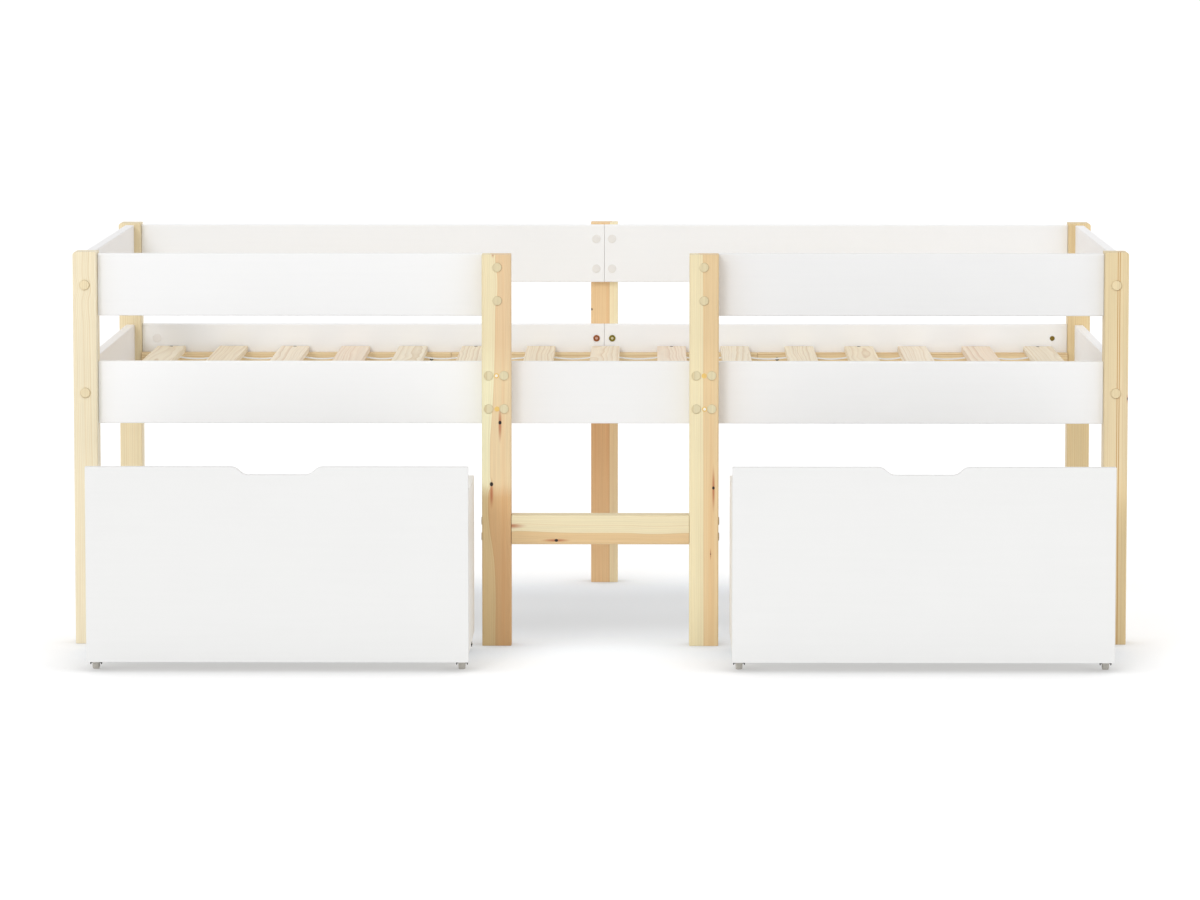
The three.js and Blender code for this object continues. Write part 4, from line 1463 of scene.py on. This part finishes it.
# The camera stands 11 m in front and looks a little down and to the left
CAMERA_PLACE = (92.2 * MM, -11.0168, 1.4111)
CAMERA_DOWN, CAMERA_LEFT = math.radians(5.5666), math.radians(0.4971)
CAMERA_LENS, CAMERA_FILM = 171.7, 36  # millimetres


class BED_OT_stage(bpy.types.Operator):
    """Lays the white floor and sets the lights and the camera"""

    bl_idname = "bed.stage"
    bl_label = "Floor, lights and camera"

    def execute(self, context):
        scene = context.scene
        self.ground()
        world = bpy.data.worlds.new("soft studio")
        world.use_nodes = True
        background = world.node_tree.nodes["Background"]
        background.inputs["Color"].default_value = hex_colour("ffffff")
        background.inputs["Strength"].default_value = STUDIO_LIGHT
        scene.world = world
        self.sun("key_light", 0.62, 18, (-0.36, -1.0, 0.52))
        self.sun("top_light", 0.3, 75, (0.05, -0.15, 1.0))
        lens = bpy.data.cameras.new("camera")
        lens.lens = CAMERA_LENS
        lens.sensor_width = CAMERA_FILM
        lens.clip_start = 0.1
        lens.clip_end = 400
        camera = bpy.data.objects.new("camera", lens)
        scene.collection.objects.link(camera)
        camera.location = CAMERA_PLACE
        camera.rotation_euler = (math.pi / 2 - CAMERA_DOWN, 0, CAMERA_LEFT)
        scene.camera = camera
        scene.view_settings.view_transform = "Standard"
        scene.view_settings.look = "None"
        return {"FINISHED"}

    def ground(self):
        """The floor, and a white surround that only the camera sees, so that no view looks into the dark."""
        deselect_all()
        bpy.ops.mesh.primitive_circle_add(
            vertices=96, radius=FLOOR_RADIUS, fill_type="NGON", location=(0, 0, -FLOOR_DROP)
        )
        floor = coat(named("floor"), self.sweep())
        surround_white = new_material("lit surround")
        tree = surround_white.node_tree
        glow = add(tree, "Emission", {"Color": (1, 1, 1, 1), "Strength": SURROUND_GLOW})
        add(tree, "OutputMaterial", {"Surface": glow.outputs[0]})
        deselect_all()
        bpy.ops.mesh.primitive_uv_sphere_add(segments=48, ring_count=24, radius=SURROUND_RADIUS)
        surround = coat(named("surround"), surround_white)
        surround.visible_diffuse = False
        surround.visible_glossy = False
        surround.visible_transmission = False
        surround.visible_shadow = False

    def sweep(self):
        """White paper sweep that glows so that it reads pure white, with painted shade under the bed and
        round the boxes.
        """
        material = new_material("white paper sweep")
        tree = material.node_tree
        at = add(tree, "TexCoord").outputs["Object"]
        apart = add(tree, "SeparateXYZ", {0: at})

        def spot(across, along):
            """A patch of floor: one between the inner places each way, and nothing past the outer ones."""
            patch = 1.0
            for value, edges in ((apart.outputs[X], across), (apart.outputs[Y], along)):
                rise, fall = (*edges[:2], 0.0, 1.0), (*edges[2:], 1.0, 0.0)
                for start, end, first, last in (rise, fall):
                    edge = add(
                        tree, "MapRange",
                        {"Value": value, "From Min": start, "From Max": end, "To Min": first, "To Max": last},
                        interpolation_type="SMOOTHSTEP",
                    ).outputs[0]
                    patch = add(tree, "Math", {0: edge, 1: patch}, operation="MULTIPLY").outputs[0]
            return patch

        def dimmed(glow, amount, patch):
            """Less glow by an amount, as far as the patch reaches."""
            return add(tree, "Math", {0: patch, 1: -amount, 2: glow}, operation="MULTIPLY_ADD").outputs[0]

        # A touch of blue, round the bed and more of it below, takes off the warmth that the wood throws there
        across = (-1.01, -0.93, 0.93, 1.01)
        round_bed = spot(across, (-0.62, -0.42, 0.5, 0.97))
        shade_under_bed = spot(across, (-0.47, 0.02, 0.36, 0.87))
        # Painted shade under the bed: the glow is a quarter less there, and a touch more round the bed
        glow = dimmed(dimmed(FLOOR_GLOW, -0.035, round_bed), 0.25, shade_under_bed)
        # The boxes stand low and roll, so the paper's painted shade follows them: its glow dims by how much
        # of what is near stands over it
        open_share = add(tree, "AmbientOcclusion", {"Distance": 200 * MM}, samples=8).outputs["AO"]
        closed = add(
            tree, "MapRange",
            {"Value": open_share, "From Min": 0.5, "From Max": 1.0, "To Min": 1.0, "To Max": 0.0},
            interpolation_type="SMOOTHSTEP",
        ).outputs[0]
        glow = dimmed(glow, 0.195, closed)
        tint = layered(tree, hex_colour("ffffff"), [
            (hex_colour("eff7ff"), round_bed, "MIX"), (hex_colour("f3f8ff"), shade_under_bed, "MULTIPLY"),
        ])
        return finish_material(
            material, (0.6, 0.6, 0.6, 1), 0.95, **{"Emission Color": tint, "Emission Strength": glow}
        )

    def sun(self, name, strength, spread, towards):
        """A soft light that comes from a direction, its spread in degrees."""
        light = bpy.data.lights.new(name, "SUN")
        light.energy = strength
        light.angle = math.radians(spread)
        lamp = bpy.data.objects.new(name, light)
        bpy.context.scene.collection.objects.link(lamp)
        lamp.rotation_euler = Vector(towards).to_track_quat("Z", "Y").to_euler()


class BED_PT_storage_bed(bpy.types.Panel):
    """Lists the steps that finish the bed, with its sizes and colours"""

    bl_idname = "BED_PT_storage_bed"
    bl_label = "Storage bed"
    bl_space_type = "VIEW_3D"
    bl_region_type = "UI"
    bl_category = "Storage bed"

    def draw(self, context):
        scene = context.scene
        for step in STEPS:
            self.layout.operator(step.bl_idname)
        for group in (scene.bed_sizes, scene.bed_colours):
            for name in group.bl_rna.properties.keys():
                if name not in ("rna_type", "name"):
                    self.layout.prop(group, name)


STEPS = (
    BED_OT_corner_posts,
    BED_OT_entry_posts,
    BED_OT_boards,
    BED_OT_step,
    BED_OT_battens,
    BED_OT_slats,
    BED_OT_straps,
    BED_OT_caps,
    BED_OT_fittings,
    BED_OT_box_panels,
    BED_OT_castors,
    BED_OT_stage,
)
CLASSES = (BedSizes, BedColours, *STEPS, BED_PT_storage_bed)


def register():
    """Makes the operators, the panel and the bed's sizes and colours known."""
    for one in CLASSES:
        bpy.utils.register_class(one)
    bpy.types.Scene.bed_sizes = PointerProperty(type=BedSizes)
    bpy.types.Scene.bed_colours = PointerProperty(type=BedColours)


def unregister():
    """Takes back what register made known."""
    del bpy.types.Scene.bed_colours
    del bpy.types.Scene.bed_sizes
    for one in reversed(CLASSES):
        bpy.utils.unregister_class(one)


def main():
    """Finishes the bed piece by piece."""
    register()
    for step in STEPS:
        area, name = step.bl_idname.split(".")
        getattr(getattr(bpy.ops, area), name)()


if __name__ == "__main__":
    main()
